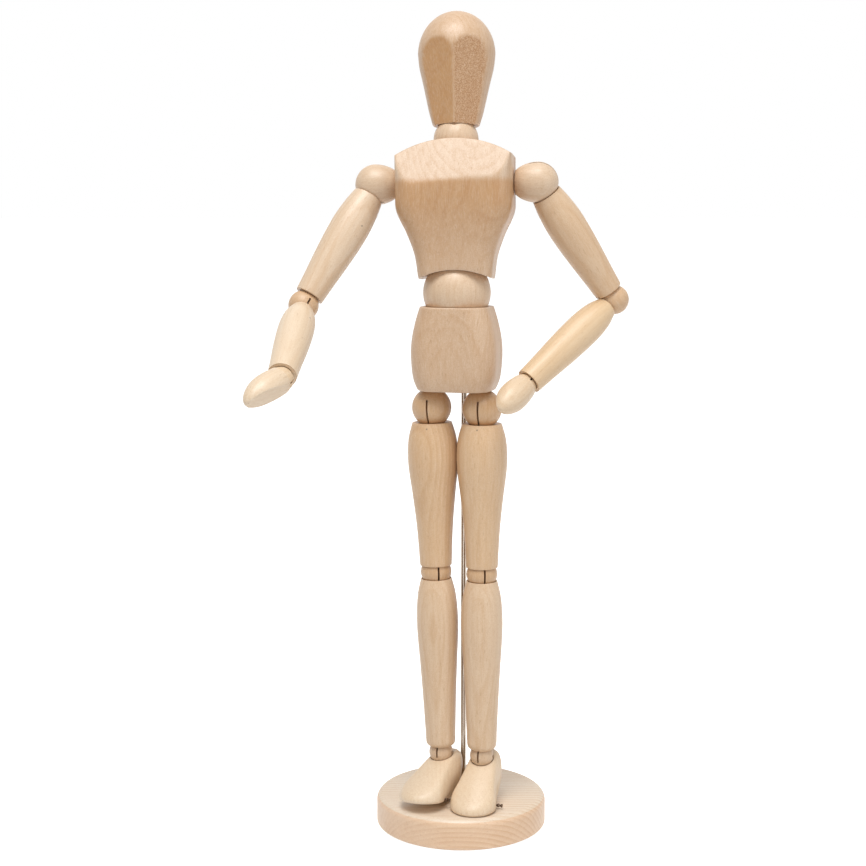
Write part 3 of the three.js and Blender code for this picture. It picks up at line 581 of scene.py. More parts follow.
class Nodes:
    """A short way to add shader nodes to a material or a world and link them."""

    def __init__(self, owner, shader="Principled BSDF"):
        owner.use_nodes = True
        self.tree = owner.node_tree
        self.shader = self.tree.nodes[shader]

    def put(self, node, values):
        """Links or sets each named input of a node."""
        for key, value in values.items():
            if isinstance(value, bpy.types.NodeSocket):
                self.tree.links.new(value, node.inputs[key])
            else:
                node.inputs[key].default_value = value

    def add(self, kind, values=None, **settings):
        node = self.tree.nodes.new(kind)
        for key, value in settings.items():
            setattr(node, key, value)
        self.put(node, values or {})
        return node

    def attribute(self, name, output):
        return self.add("ShaderNodeAttribute", attribute_name=name).outputs[output]

    def maths(self, operation, a, b=0.0):
        return self.add("ShaderNodeMath", {0: a, 1: b}, operation=operation).outputs[0]

    def times(self, a, b):
        return self.maths("MULTIPLY", a, b)

    def remap(self, value, low, high, to_low, to_high):
        return self.add("ShaderNodeMapRange", {
            "Value": value, "From Min": low, "From Max": high, "To Min": to_low,
            "To Max": to_high}).outputs[0]

    def noise(self, vector, scale, detail=3.0, roughness=0.5):
        return self.add("ShaderNodeTexNoise", {
            "Vector": vector, "Scale": scale, "Detail": detail,
            "Roughness": roughness}).outputs["Fac"]

    def grain(self, vector, flat, *noise):
        """Noise drawn out along Z, where it changes only by the given share."""
        drawn = self.add("ShaderNodeMapping", {"Vector": vector, "Scale": (1.0, 1.0, flat)})
        return self.noise(drawn.outputs[0], *noise)

    def mix(self, factor, a, b, blend="MIX"):
        return self.add("ShaderNodeMix", {0: factor, 6: a, 7: b}, data_type="RGBA",
                        blend_type=blend).outputs[2]

    def bump(self, height, strength, distance):
        return self.add("ShaderNodeBump", {
            "Height": height, "Strength": strength, "Distance": distance}).outputs[0]

    def seen_directly(self):
        """1 where the camera looks, straight or by a reflection, and 0 for all other light."""
        seen = self.add("ShaderNodeLightPath").outputs
        return self.maths("MAXIMUM", seen["Is Camera Ray"], seen["Is Glossy Ray"])


def scaled(colour, *shares):
    """A colour with its three channels multiplied by the shares, none above 1."""
    return tuple(min(1.0, channel * share) for channel, share in zip(colour, shares)) + (1.0,)


def wood(name, colour, figure, fibre, pith=(0.03, 0.012)):
    """Sanded pale wood. Growth rings are a wave in the distance from a pith line beside the
    piece, bent by slow noise. Fibres are fine noise drawn out along the grain, pores are small
    dots and short dashes, and worn edges are lighter and smoother."""
    settings = bpy.context.scene.mannequin_finish
    material = bpy.data.materials.new(name)
    nodes = Nodes(material)
    here = nodes.attribute("grain_place", "Vector")
    wear = nodes.attribute("edge_wear", "Fac")
    fibres = nodes.grain(here, 0.08, 2600.0, 2.0, 0.6)
    streaks = nodes.grain(here, 0.03, 700.0, 3.0, 0.6)
    cloud = nodes.grain(here, 0.4, 30.0, 3.0, 0.5)
    dashes = nodes.grain(here, 0.2, 1900.0, 1.0, 0.4)
    pores = nodes.noise(here, 2500.0, 2.0, 0.6)
    dots = nodes.times(nodes.remap(pores, 0.4, 0.62, 1.0, 0.0),
                       nodes.attribute("speckle", "Fac"))
    nail = nodes.add("ShaderNodeVectorMath", {0: nodes.attribute("nail_place", "Vector")},
                     operation="LENGTH").outputs["Value"]

    pale = scaled(settings.pale_tone, 1, 1, 1)
    # The paleness holds the wood's own tone and, on some pieces, painted light
    tone = nodes.mix(nodes.attribute("paleness", "Fac"), colour + (1.0,), pale)
    layers = (
        (nodes.remap(cloud, 0.35, 0.7, 0.0, 0.35), DEEP_TONE, "MULTIPLY"),
        (nodes.times(rings_of(nodes, here, pith), figure), DEEP_TONE, "MULTIPLY"),
        (nodes.remap(streaks, 0.4, 0.75, 0.0, fibre), DEEP_TONE, "MULTIPLY"),
        (nodes.remap(fibres, 0.45, 0.8, 0.0, fibre * 0.45), pale, "MIX"),
        (dots, scaled(colour, 0.68, 0.56, 0.42), "MIX"),
        (nodes.remap(dashes, 0.66, 0.76, 0.0, 0.3), scaled(colour, 0.6, 0.48, 0.36), "MIX"),
        (nodes.times(wear, 0.18), pale, "MIX"),
        (nodes.remap(nail, NAIL_RADIUS * 1.3 * MM, NAIL_RADIUS * 0.7 * MM, 0.0, 0.6),
         NAIL_TONE, "MIX"),
    )
    for share, layer, blend in layers:
        tone = nodes.mix(share, tone, layer, blend)

    rough = nodes.remap(streaks, 0.2, 0.8, settings.wood_roughness - 0.06,
                        settings.wood_roughness + 0.08)
    height = nodes.maths("ADD", nodes.times(fibres, 0.6), nodes.times(streaks, 0.5))
    height = nodes.maths("SUBTRACT", height, nodes.times(dots, 0.5))
    nodes.put(nodes.shader, {
        "Base Color": tone,
        "Roughness": nodes.maths("SUBTRACT", rough, nodes.times(wear, 0.08)),
        "Normal": nodes.bump(height, 0.35, settings.grain_depth * MM),
        "Specular IOR Level": settings.wood_sheen,
        "Coat Weight": 0.1,
        "Coat Roughness": 0.3,
    })
    return material


def rings_of(nodes, here, pith):
    """Growth rings, from 0 in the early wood to 1 in the late wood: a wave in the distance from
    the pith line, bent by slow noise and faded in patches."""
    parts = nodes.add("ShaderNodeSeparateXYZ", {0: here}).outputs
    side, depth = (nodes.maths("ADD", parts[i], pith[i]) for i in range(2))
    distance = nodes.maths("SQRT", nodes.maths("ADD", nodes.times(side, side),
                                               nodes.times(depth, depth)))
    bend = nodes.grain(here, 0.25, 38.0, 2.0)
    distance = nodes.maths("ADD", distance, nodes.times(bend, RING_BEND))
    wave = nodes.maths("FRACT", nodes.times(distance, RINGS_PER_METRE))
    late = nodes.times(nodes.maths("POWER", wave, 2.0), nodes.remap(wave, 0.82, 1.0, 1.0, 0.0))
    faint = nodes.grain(here, 0.35, 60.0, 2.0)
    return nodes.times(late, nodes.remap(faint, 0.35, 0.6, 0.3, 1.6))


def steel(name, colour, roughness):
    """Drawn steel: noise drawn out along the wire shifts its tone and roughness, with a few
    darker spots."""
    material = bpy.data.materials.new(name)
    nodes = Nodes(material)
    here = nodes.add("ShaderNodeTexCoord").outputs["Object"]
    streaks = nodes.grain(here, 0.02, 2600.0, 3.0)
    spots = nodes.remap(nodes.noise(here, 420.0, 2.0), 0.58, 0.72, 0.0, 0.3)
    tone = nodes.mix(nodes.remap(streaks, 0.3, 0.7, 0.0, 1.0),
                     scaled(colour, 0.86, 0.86, 0.86), scaled(colour, 1.14, 1.14, 1.14))
    nodes.put(nodes.shader, {
        "Base Color": nodes.mix(spots, tone, scaled(colour, 0.6, 0.52, 0.45)),
        "Roughness": nodes.remap(streaks, 0.2, 0.8, roughness - 0.06, roughness + 0.1),
        "Normal": nodes.bump(streaks, 0.2, 0.02 * MM),
        "Metallic": 1.0,
    })
    return material


def material_named(name, make, *values, **options):
    """The material of that name, made the first time it is asked for."""
    return bpy.data.materials.get(name) or make(name, *values, **options)


def wood_from(setting, figure, fibre, **options):
    """The wood whose colour is the setting of that name."""
    colour = tuple(getattr(bpy.context.scene.mannequin_finish, setting))
    return material_named(setting.replace("_", " "), wood, colour, figure, fibre, **options)


def body_wood():
    return wood_from("body_wood", figure=0.5, fibre=0.55)


def limb_wood():
    return wood_from("limb_wood", figure=0.5, fibre=0.45)


def pale_wood():
    return wood_from("pale_wood", figure=0.3, fibre=0.35)


def ball_wood():
    return wood_from("ball_wood", figure=0.3, fibre=0.45)


def base_wood():
    return wood_from("base_wood", figure=0.8, fibre=0.4, pith=(0.02, 0.05))


# Shapes


def swelling(points, first_rim, widest, last_rim):
    """Rows of share and radius between two rims: before the widest point the radius grows from
    the first rim's, after it from the last rim's."""
    rows = np.array(points, float)
    peak = int(np.argmax(rows[:, 1]))
    rim = np.where(np.arange(len(rows)) < peak, first_rim, last_rim)
    rows[:, 1] = rim + (widest - rim) * rows[:, 1]
    return np.vstack([(0, first_rim), rows, (1, last_rim)])


def limb_profile(limb, gap):
    """The closed outline of a limb, as radius and height: a smooth curve down the outside, the
    lower hollow, the bore and the upper hollow."""
    span, widest, upper, lower, points = LIMBS[limb]
    drops = [BALLS[ball] * drop for ball, drop, _ in (upper, lower)]
    rims = [np.sqrt((BALLS[ball] + gap) ** 2 - reach ** 2) + BALLS[ball] * lip
            for (ball, _, lip), reach in zip((upper, lower), drops)]
    top, bottom = -drops[0], drops[1] - span
    outline = swelling(points, rims[0], widest, rims[1])
    rows = np.stack([outline[:, 1], top + (bottom - top) * outline[:, 0]], axis=-1)
    outside = smooth_curve(rows, LIMB_POINTS)

    def hollow(ball, drop, centre, direction):
        size = BALLS[ball] + gap
        rim = np.degrees(np.arcsin(drop / size))
        bore = np.degrees(np.arccos(BORE_RADIUS / size))
        return arc(0, centre, size, direction * rim, direction * bore, 9)

    lower_hollow = hollow(lower[0], drops[1], -span, 1)
    upper_hollow = hollow(upper[0], drops[0], 0, -1)[::-1]
    return np.vstack([outside, lower_hollow, upper_hollow])


def limb_place(limb, side):
    """Origin at the limb's upper ball, Z from the lower ball to the upper one and X along the
    pin of the upper ball."""
    upper, lower = (f"{BALL_JOINTS[end[0]][1]}_{side}" for end in LIMBS[limb][2:4])
    return square_frame(joint_at(upper), joint_at(upper) - joint_at(lower), joint_axis(upper))


def nail_on(name, grid):
    """The place of a limb's nail: the point of its outer surface nearest to the nail's height
    and direction, or far away where the limb has none."""
    if name not in NAILS:
        return NO_NAIL
    height, turn = NAILS[name]
    outside = grid[:LIMB_POINTS, 0]
    radius = np.interp(-height, -outside[:, 2], np.hypot(outside[:, 0], outside[:, 1]))
    turn = np.radians(turn)
    return (radius * np.cos(turn), radius * np.sin(turn), height)


def wire_grid(out):
    """The wire under a sole, along X from inside the foot to the given length beyond its edge:
    circles whose radius swells and shrinks as a sine wave, closed at both ends."""
    end = TOE_HALF_WIDTH + out
    along = np.linspace(-WIRE_INNER_SHARE * TOE_HALF_WIDTH, end, 160)
    radius = WIRE_RADIUS + WIRE_WAVE * np.sin(2 * np.pi * along / WIRE_WAVE_LENGTH)
    rows = np.stack([radius, along], -1)
    rows = np.vstack([(0, along[0]), rows, (0, along[-1])])
    turned = revolved(rows, 20)
    height = WIRE_LIFT - SOLE_DROP
    return np.stack([turned[..., 2], turned[..., 0] - WIRE_AHEAD, turned[..., 1] + height], -1)


def slotted_ball(shape, radius, neck=None, seat=None, reach=None, hole_depth=0.0):
    """A ball sliced square to its pin. Each slice is a circle in Y and Z, drawn out above the
    middle where the ball has a neck, up to its seat. In the slices of the saw cut, what lies
    below the cut's end is moved up to it. The pin's holes are sunk at the two ends."""
    half = shape.saw_cut / 2
    hole = np.sqrt(radius ** 2 - PIN_HOLE ** 2)
    curve = radius * np.sin(np.radians(np.linspace(-90, 90, 60)))
    outer = curve[(np.abs(curve) > half + CUT_CLEARANCE) & (np.abs(curve) < hole)]
    wall = [half + step for step in CUT_STEPS]
    slices = np.concatenate([outer[outer < 0], [-w for w in wall], wall[::-1], outer[outer > 0]])
    is_cut = np.abs(slices) <= half + 1e-9
    slices = np.concatenate([[-hole, -hole], slices, [hole, hole]])
    is_cut = np.concatenate([[False, False], is_cut, [False, False]])
    angle = np.linspace(0, 2 * np.pi, shape.steps_around, endpoint=False)
    size = np.sqrt(np.maximum(radius ** 2 - slices ** 2, 0))[:, None]
    size = np.broadcast_to(size, (len(slices), len(angle)))
    if neck:
        rise = np.sin(angle)
        tall = neck * np.sqrt(1 - (slices / radius) ** 2)[:, None]
        drawn = 1 / np.sqrt((np.cos(angle) / size) ** 2 + (rise / tall) ** 2)
        seated = lower_of(drawn, seat / np.maximum(rise, 1e-3), SEAT_SOFTNESS)
        size = np.where(rise > 0, seated, size)
    y = size * np.cos(angle)
    z = size * np.sin(angle)
    x = np.broadcast_to(slices[:, None], y.shape).copy()
    x[0] = -hole + hole_depth
    x[-1] = hole - hole_depth
    cut = cut_slices(x, y, z, is_cut, KERF_RISE * radius, reach)
    ends = np.stack([np.array([[side * (hole - hole_depth), 0, 0]]).repeat(len(angle), 0)
                     for side in (-1, 1)])
    return np.concatenate([ends[:1], cut, ends[1:]])


def cut_slices(x, y, z, is_cut, top, reach):
    """Adds the walls and the floor of the saw cut to a ball's slices. At each wall the slice is
    kept twice: whole, then with what lies below the cut's end moved up to it. A cut with a
    reach is a pocket, open below only that far to both sides."""
    rows = []
    for i in range(len(x)):
        whole = np.stack([x[i], y[i], z[i]], axis=-1)
        if not is_cut[i]:
            rows.append(whole)
            continue
        chord = np.sqrt(max(y[i].max() ** 2 - top ** 2, 0))
        low = z[i] < top
        inner = np.clip(y[i], -chord, chord)
        if reach:
            low = low & (np.abs(y[i]) < reach) & (z[i] < 0)
            inner = y[i]
        floor = np.stack([x[i], np.where(low, inner, y[i]), np.where(low, top, z[i])], axis=-1)
        rows += [whole, floor] if x[i, 0] < 0 else [floor, whole]
    return np.stack(rows)


def pelvis_grid(gap):
    """The pelvis: rounded rectangles whose sizes follow a smooth curve up the block, both ends
    drawn in to the middle, then hollowed around the waist ball and the two hip balls."""
    outline = np.array([
        (0, 0.844, 0.832, 0.89), (0.03, 0.884, 0.883, 0.94), (0.16, 0.965, 0.956, 1),
        (0.4, 1, 1, 1), (0.6, 0.983, 1, 1), (0.8, 0.908, 0.993, 1), (0.97, 0.815, 0.971, 1),
        (1, 0.792, 0.949, 0.98)])
    rows = smooth_curve(outline, 70)
    height = PELVIS_RISE + rows[:, 0] * PELVIS_HEIGHT
    depth = rows[:, 2] * PELVIS_HALF_DEPTH
    rings = block_rings(np.stack([
        height, rows[:, 1] * PELVIS_HALF_WIDTH, depth, depth, rows[:, 3] * PELVIS_CORNER], -1))
    grid = capped(rings, 40, 40)
    grid = hollowed(grid, BALLS["waist"] + gap, (0, 0, WAIST_ABOVE_HIPS))
    for side in (-1, 1):
        grid = hollowed(grid, BALLS["hip"] + gap, (side * HIP_SPACING, 0, 0))
    return grid


def chest_grid(shape):
    """The chest: rounded rectangles along a smooth curve, each stretched between a hollow
    underside and an arched top, both drums along Y; then planed in front and behind and hollowed
    around the waist and neck balls."""
    outline = np.array([
        (0, 0.614, 0.611, 0.783, 0.73), (0.015, 0.64, 0.642, 0.822, 0.8),
        (0.183, 0.693, 0.716, 0.882, 0.87), (0.356, 0.82, 0.821, 0.947, 0.93),
        (0.484, 0.939, 0.895, 0.987, 1), (0.598, 1, 0.937, 1, 1), (0.8, 1, 0.967, 1, 1),
        (1, 1, 1, 1, 1)])
    rows = smooth_curve(outline, 130)
    rows[:, 1] = np.minimum(rows[:, 1], 1)
    rows *= (1, CHEST_HALF_WIDTH, CHEST_FRONT, CHEST_BACK, CHEST_CORNER)
    rows[:, 0] = CHEST_RISE + rows[:, 0] * CHEST_HEIGHT
    rings = block_rings(rows)
    grid = capped(rings, 44, 44)
    low = CHEST_RISE + CHEST_HOLLOW_RISE - CHEST_HOLLOW_RADIUS + np.sqrt(
        CHEST_HOLLOW_RADIUS ** 2 - grid[..., 0] ** 2)
    low = np.maximum(low, CHEST_RISE)
    high = CHEST_TOP - CHEST_ARCH_RADIUS + np.sqrt(CHEST_ARCH_RADIUS ** 2 - grid[..., 0] ** 2)
    grid[..., 2] = low + (high - low) * (grid[..., 2] - CHEST_RISE) / CHEST_HEIGHT
    roll = -FACET_EDGE_DROP * np.sin(np.radians(FACET_ROLL))
    grid = planed(grid, (0, -FACET_EDGE_DEPTH, CHEST_TOP - FACET_EDGE_DROP),
                  (roll, -FACET_EDGE_DROP, FACET_EDGE_DEPTH - FACET_TOP_DEPTH),
                  shape.edge_softness)
    grid = planed(grid, (0, CHEST_BACK, CHEST_TOP - BEVEL_EDGE_DROP),
                  (0, BEVEL_EDGE_DROP, CHEST_BACK - BEVEL_TOP_DEPTH), shape.edge_softness)
    gap = shape.ball_gap
    grid = hollowed(grid, BALLS["waist"] + gap)
    return hollowed(grid, BALLS["neck"] + gap, (0, 0, CHEST_TOP), NECK_SEAT_LIFT)


def head_grid(shape):
    """The head: an egg turned about Z. At every height the radius towards each face is limited
    by that face's distance over the cosine of the angle to it, softly, so the faces meet in a
    keel. The chin ends in a hollow around the neck ball. Also gives where the faces are."""
    widest = HEAD_TOP - HEAD_WIDEST_DROP
    cheeks = np.array([(0.615, 0.022), (0.707, 0.2), (0.862, 0.583), (0.961, 0.815), (1, 1)])
    side = smooth_curve(cheeks * (HEAD_RADIUS, widest - CHIN_RISE) + (0, CHIN_RISE), 70)
    angle = np.radians(np.linspace(0, 90, 48))
    crown = np.stack([HEAD_RADIUS * np.cos(angle),
                      widest + HEAD_WIDEST_DROP * np.sin(angle)], -1)
    edge = side[0, 1] - CHIN_RISE
    inner = side[0, 0] - edge
    chin = arc(inner, side[0, 1], edge, -90, 0, 6)
    under = level(0, inner, CHIN_RISE, 30)
    grid = revolved(np.vstack([under, chin[1:], side[1:], crown[1:]]), shape.steps_around)
    radius = np.hypot(grid[..., 0], grid[..., 1])
    angle = np.arctan2(grid[..., 1], grid[..., 0])
    limit = radius
    rise = grid[..., 2] - CHIN_RISE - FACE_RISE
    distance = FACE_DISTANCE + rise * np.tan(np.radians(FACE_SLOPE))
    for turn in (-FACE_TURN, FACE_TURN):
        towards = np.cos(angle - np.radians(turn - 90))
        face = distance / np.maximum(towards, 0.05)
        limit = lower_of(limit, face, shape.edge_softness * 0.5)
    share = np.where(radius > 1e-6, np.maximum(limit, 0) / np.maximum(radius, 1e-6), 1)
    grid[..., :2] *= share[..., None]
    cut_back = np.clip((radius - limit) / FACE_BLEND, 0, 1)
    grid = hollowed(grid, BALLS["neck"] + shape.ball_gap)
    return grid, cut_back


def hand_grid(shape):
    """A hand: an egg turned about Z with its tip down, whose palm is planed flat from the rim to
    the tip, hollowed around the wrist ball."""
    points = ((0.05, 0.2), (0.22, 0.8), (0.4, 1), (0.58, 0.95), (0.76, 0.76), (0.9, 0.5),
              (0.98, 0.22))
    ball = BALLS["wrist"] + shape.ball_gap
    rim = np.sqrt(ball ** 2 - HAND_RIM_DROP ** 2) + HAND_LIP
    outline = swelling(points, rim, HAND_RADIUS, 0)
    height = -HAND_RIM_DROP - (HAND_LENGTH - HAND_RIM_DROP) * outline[:, 0]
    side = smooth_curve(np.stack([outline[:, 1], height], -1), 90)
    top = level(0, rim, -HAND_RIM_DROP, 20)
    grid = revolved(np.vstack([top, side[1:]])[::-1], shape.steps_around)
    palm = (0, HAND_RIM_DROP - HAND_LENGTH, PALM_TIP_DEPTH - PALM_TOP_DEPTH)
    grid = planed(grid, (0, -PALM_TIP_DEPTH, -HAND_LENGTH), palm, shape.edge_softness * 0.5)
    return hollowed(grid, ball)


def foot_grid(shape):
    """A foot: level rings of a heel arc and a toe arc with straight sides between, whose sizes
    follow smooth curves up the block, planed by one sloping face and hollowed around the ankle
    ball."""
    outline = np.array([
        (0, 0.51, 0.74, 0.94), (0.07, 0.61, 0.83, 1), (0.25, 0.775, 0.915, 0.97),
        (0.5, 0.92, 0.985, 0.82), (0.75, 1, 0.93, 0.62), (0.92, 0.95, 0.78, 0.46),
        (1, 0.8, 0.55, 0.3)])
    rows = smooth_curve(outline, 70)
    height = -SOLE_DROP + (SOLE_DROP + HEEL_TOP) * rows[:, 0][:, None]
    reach = HEEL_REACH * rows[:, 1][:, None]
    heel = HEEL_HALF_WIDTH * rows[:, 2][:, None]
    toe = TOE_HALF_WIDTH * rows[:, 3][:, None]
    angle = np.radians(np.linspace(0, 180, 30))
    heel_arc = (HEEL_OFFSET + heel * np.cos(angle), reach - heel + heel * np.sin(angle))
    toe_arc = (-toe * np.cos(angle), TOE_HALF_WIDTH - TOE_REACH - toe * np.sin(angle))
    rings = joined_arcs([heel_arc, toe_arc], height, 24)
    grid = capped(rings, 14, 36, (0.0, 1.2))
    fall = SOLE_DROP - TOE_THICKNESS - INSTEP_DROP
    run = TOE_REACH - INSTEP_AHEAD
    grid = planed(grid, (0, -INSTEP_AHEAD, INSTEP_LIFT - INSTEP_DROP), (0, -fall, run),
                  shape.edge_softness * 5, INSTEP_CROWN)
    return hollowed(grid, BALLS["ankle"] + shape.ball_gap)


# Operators


class MANNEQUIN_OT_base(bpy.types.Operator):
    """Builds the round base and the steel rod"""

    bl_idname = "mannequin.base"
    bl_label = "Base and rod"

    def execute(self, context):
        """The base is a disc with rounded rims, and the rod a bar with a chamfered top."""
        rim = BASE_TOP_ROUNDING
        foot = BASE_FOOT_ROUNDING
        profile = np.vstack([
            level(0, BASE_RADIUS - foot, 0, 16),
            arc(BASE_RADIUS - foot, foot, foot, -90, 0, 8)[1:],
            arc(BASE_RADIUS - rim, BASE_HEIGHT - rim, rim, 0, 90, 18),
            level(BASE_RADIUS - rim, 0, BASE_HEIGHT, 30)[1:]])
        grid = revolved(profile, context.scene.mannequin_shape.steps_around * 2)
        axes = np.eye(3)
        # The top's paleness is painted light from above and a painted reflection of the studio
        paleness = np.where(grid[..., 2] > BASE_HEIGHT - 1, BASE_TOP_PALENESS, BASE_SIDE_PALENESS)
        base = new_piece("wooden_base", grid, (0, 0, 0), axes, (0.0, 0.0, 0.0),
                         paleness=paleness)
        self.lay_grain(base)
        finish_piece(base, base_wood(), "base_wood", "stand", "base")

        profile = [(0, ROD_LOW), (ROD_RADIUS, ROD_LOW), (ROD_RADIUS, BASE_HEIGHT)]
        heights = np.linspace(BASE_HEIGHT, ROD_TOP - ROD_CHAMFER, 12)[1:]
        profile += [(ROD_RADIUS, height) for height in heights]
        profile += [(ROD_RADIUS - ROD_CHAMFER, ROD_TOP), (0, ROD_TOP)]
        grid = revolved(profile, 32) + (ROD_SIDE, 0, 0)
        rod = new_piece("steel_rod", grid, (0, 0, 0), axes, (0.0, 0.0, 0.0))
        colour = tuple(context.scene.mannequin_finish.steel)
        rod_steel = material_named("rod steel", steel, colour, 0.22)
        finish_piece(rod, rod_steel, "rod_steel", "stand", "support_rod")
        return {"FINISHED"}

    def lay_grain(self, base):
        """Turns the base's grain level, along X, as in a disc cut from a board."""
        grain = base.data.attributes["grain_place"].data
        values = np.empty(len(base.data.vertices) * 3, np.float32)
        grain.foreach_get("vector", values)
        grain.foreach_set("vector", values.reshape(-1, 3)[:, [2, 1, 0]].ravel())


class MANNEQUIN_OT_pelvis(bpy.types.Operator):
    """Builds the pelvis block"""

    bl_idname = "mannequin.pelvis"
    bl_label = "Pelvis"

    def execute(self, context):
        """Places the pelvis between the hips, upright."""
        left = joint_at("hip_turn_left")
        right = joint_at("hip_turn_right")
        origin, axes = square_frame((left + right) / 2, UP, left - right)
        grid = pelvis_grid(context.scene.mannequin_shape.ball_gap)
        piece = new_piece("pelvis_block", grid, origin, axes, (-0.03, -0.018, 0.2),
                          paleness=PALENESS["pelvis"], bow=(12.0, 0.0075))
        finish_piece(piece, body_wood(), "body_wood", "pelvis", "pelvis")
        return {"FINISHED"}


class MANNEQUIN_OT_chest(bpy.types.Operator):
    """Builds the faceted chest block"""

    bl_idname = "mannequin.chest"
    bl_label = "Chest"

    def execute(self, context):
        """Places the chest on the waist, with X through the shoulders. It is painted paler towards
        its underside, as painted bounce light from below, and on the sloping facet in front, as
        painted light from above."""
        across = joint_at("shoulder_swing_left") - joint_at("shoulder_swing_right")
        origin, axes = square_frame(joint_at("waist_turn"), joint_axis("chest_turn"), across)
        grid = chest_grid(context.scene.mannequin_shape)
        facet = CHEST_TOP - FACET_EDGE_DROP
        height = grid[..., 2]
        # Painted light: bounce light paling the underside, light from above paling the front facet
        low = np.interp(height, [0, facet - CHEST_FADE_DROP], [CHEST_PAINTED_LIGHT, 0])
        high = np.interp(height, [facet - 1, facet + 1], [0, CHEST_PAINTED_LIGHT])
        front = np.clip(-grid[..., 1] / FRONT_FADE, 0, 1)
        piece = new_piece("chest_block", grid, origin, axes, (-0.039, -0.016, 0.3),
                          paleness=PALENESS["chest"] + low + high * front)
        finish_piece(piece, body_wood(), "body_wood", "chest", "chest")
        return {"FINISHED"}


class MANNEQUIN_OT_head(bpy.types.Operator):
    """Builds the egg-shaped head with its two planed faces"""

    bl_idname = "mannequin.head"
    bl_label = "Head"

    def execute(self, context):
        """Places the head on the neck. The face on the figure's left is speckled, and is painted
        paler as painted light from that side; the turned wood is painted paler than the faces, as
        painted light from above, apart from a strip along the keel."""
        origin, axes = joint_frame("head_turn", "head_nod")
        grid, faces = head_grid(context.scene.mannequin_shape)
        # Painted light: the figure's left face paler as lit from its side, and the crown paler
        # than the shaded faces
        speckled = np.where(grid[..., 0] > 0, faces, 0)
        keel = np.clip(KEEL_STRENGTH - np.abs(grid[..., 0]) / KEEL_FADE
                       - np.maximum(grid[..., 2] - KEEL_TOP, 0) / KEEL_TOP_FADE, 0, 1)
        rounded = (1 - faces) * np.where(grid[..., 1] < 0, 1 - keel, 1)
        paleness = PALENESS["head"] + LIT_FACE_PALENESS * speckled + CROWN_LIGHT_PALENESS * rounded
        piece = new_piece("head_egg", grid, origin, axes, (0.01, 0.05, 0.5),
                          paleness=paleness, speckle=SPECKLE + FACE_SPECKLE * speckled)
        finish_piece(piece, body_wood(), "body_wood", "head", "head")
        return {"FINISHED"}


class MANNEQUIN_OT_balls(bpy.types.Operator):
    """Builds the joint balls with their saw cuts and pin holes"""

    bl_idname = "mannequin.balls"
    bl_label = "Joint balls"

    def execute(self, context):
        """Every ball's saw cut is open on the side away from its shank."""
        for joint, radius in BALLS.items():
            for side in ("",) if joint in ("waist", "neck") else SIDES:
                self.ball(joint, side, radius)
        return {"FINISHED"}

    def ball(self, joint, side, radius):
        """Makes one ball in its joint's frame: Z along its shank, X along its pin."""
        shape = bpy.context.scene.mannequin_shape
        tail = f"_{side}" if side else ""
        turn, bend = (name + tail for name in BALL_JOINTS[joint])
        shank = joint_axis(turn)
        if shank @ self.inner_direction(joint, side, joint_at(turn)) < 0:
            shank = -shank
        origin, axes = square_frame(joint_at(turn), shank, joint_axis(bend))
        if joint == "shoulder":
            neck = SHOULDER_SEAT / np.sqrt(1 - (SHOULDER_FLAT / radius) ** 2)
            grid = slotted_ball(shape, radius, neck=neck, seat=SHOULDER_SEAT)
        elif joint in STANDING_BALLS:
            grid = slotted_ball(shape, radius, reach=POCKET_REACH * radius)
        else:
            depth = PIN_HOLE_DEPTH if joint in OPEN_PIN_HOLES else 0.0
            grid = slotted_ball(shape, radius, hole_depth=depth)
        index = list(BALLS).index(joint) + (10 if side == "right" else 0)
        offset = (0.01 * index, 0.003 * index, 0.02 * index)
        piece = new_piece(f"{joint}_ball_piece{tail}", grid, origin, axes, offset,
                          paleness=PALENESS[joint])
        pale = joint == "wrist"
        finish_piece(piece, pale_wood() if pale else ball_wood(),
                     "hand_wood" if pale else "ball_wood", f"{joint}_ball{tail}",
                     f"{joint}{tail}_ball")

    def inner_direction(self, joint, side, origin):
        """The way a ball's shank runs: down for standing balls, up at the hips, inward at the
        shoulders, back up the limb at elbow and knee and away from it at wrist and ankle."""
        if joint in STANDING_BALLS:
            return -UP
        if joint == "hip":
            return UP
        if joint == "shoulder":
            other = "right" if side == "left" else "left"
            return joint_at(f"shoulder_swing_{other}") - origin
        above = joint_at(f"{BALL_JOINTS[BALL_ABOVE[joint]][1]}_{side}")
        return origin - above if joint in ("wrist", "ankle") else above - origin


class MANNEQUIN_OT_limbs(bpy.types.Operator):
    """Builds the turned thighs, shins, upper arms and forearms"""

    bl_idname = "mannequin.limbs"
    bl_label = "Limbs"

    def execute(self, context):
        """Each limb is its closed outline turned about the line between its two balls."""
        shape = context.scene.mannequin_shape
        for index, limb in enumerate(LIMBS):
            for side in SIDES:
                origin, axes = limb_place(limb, side)
                grid = revolved(limb_profile(limb, shape.ball_gap), shape.steps_around)
                number = index * 2 + (side == "right")
                offset = (0.004 * number, 0.017 * number, 0.11 * number)
                paleness = PALENESS.get(f"{limb}_{side}", PALENESS.get(limb))
                piece = new_piece(f"turned_{limb}_{side}", grid, origin, axes, offset, True,
                                  paleness, nail=nail_on(f"{limb}_{side}", grid))
                pale = limb == "forearm"
                finish_piece(piece, pale_wood() if pale else limb_wood(),
                             "hand_wood" if pale else "limb_wood",
                             f"{limb}_{side}", f"{limb}_{side}")
        return {"FINISHED"}


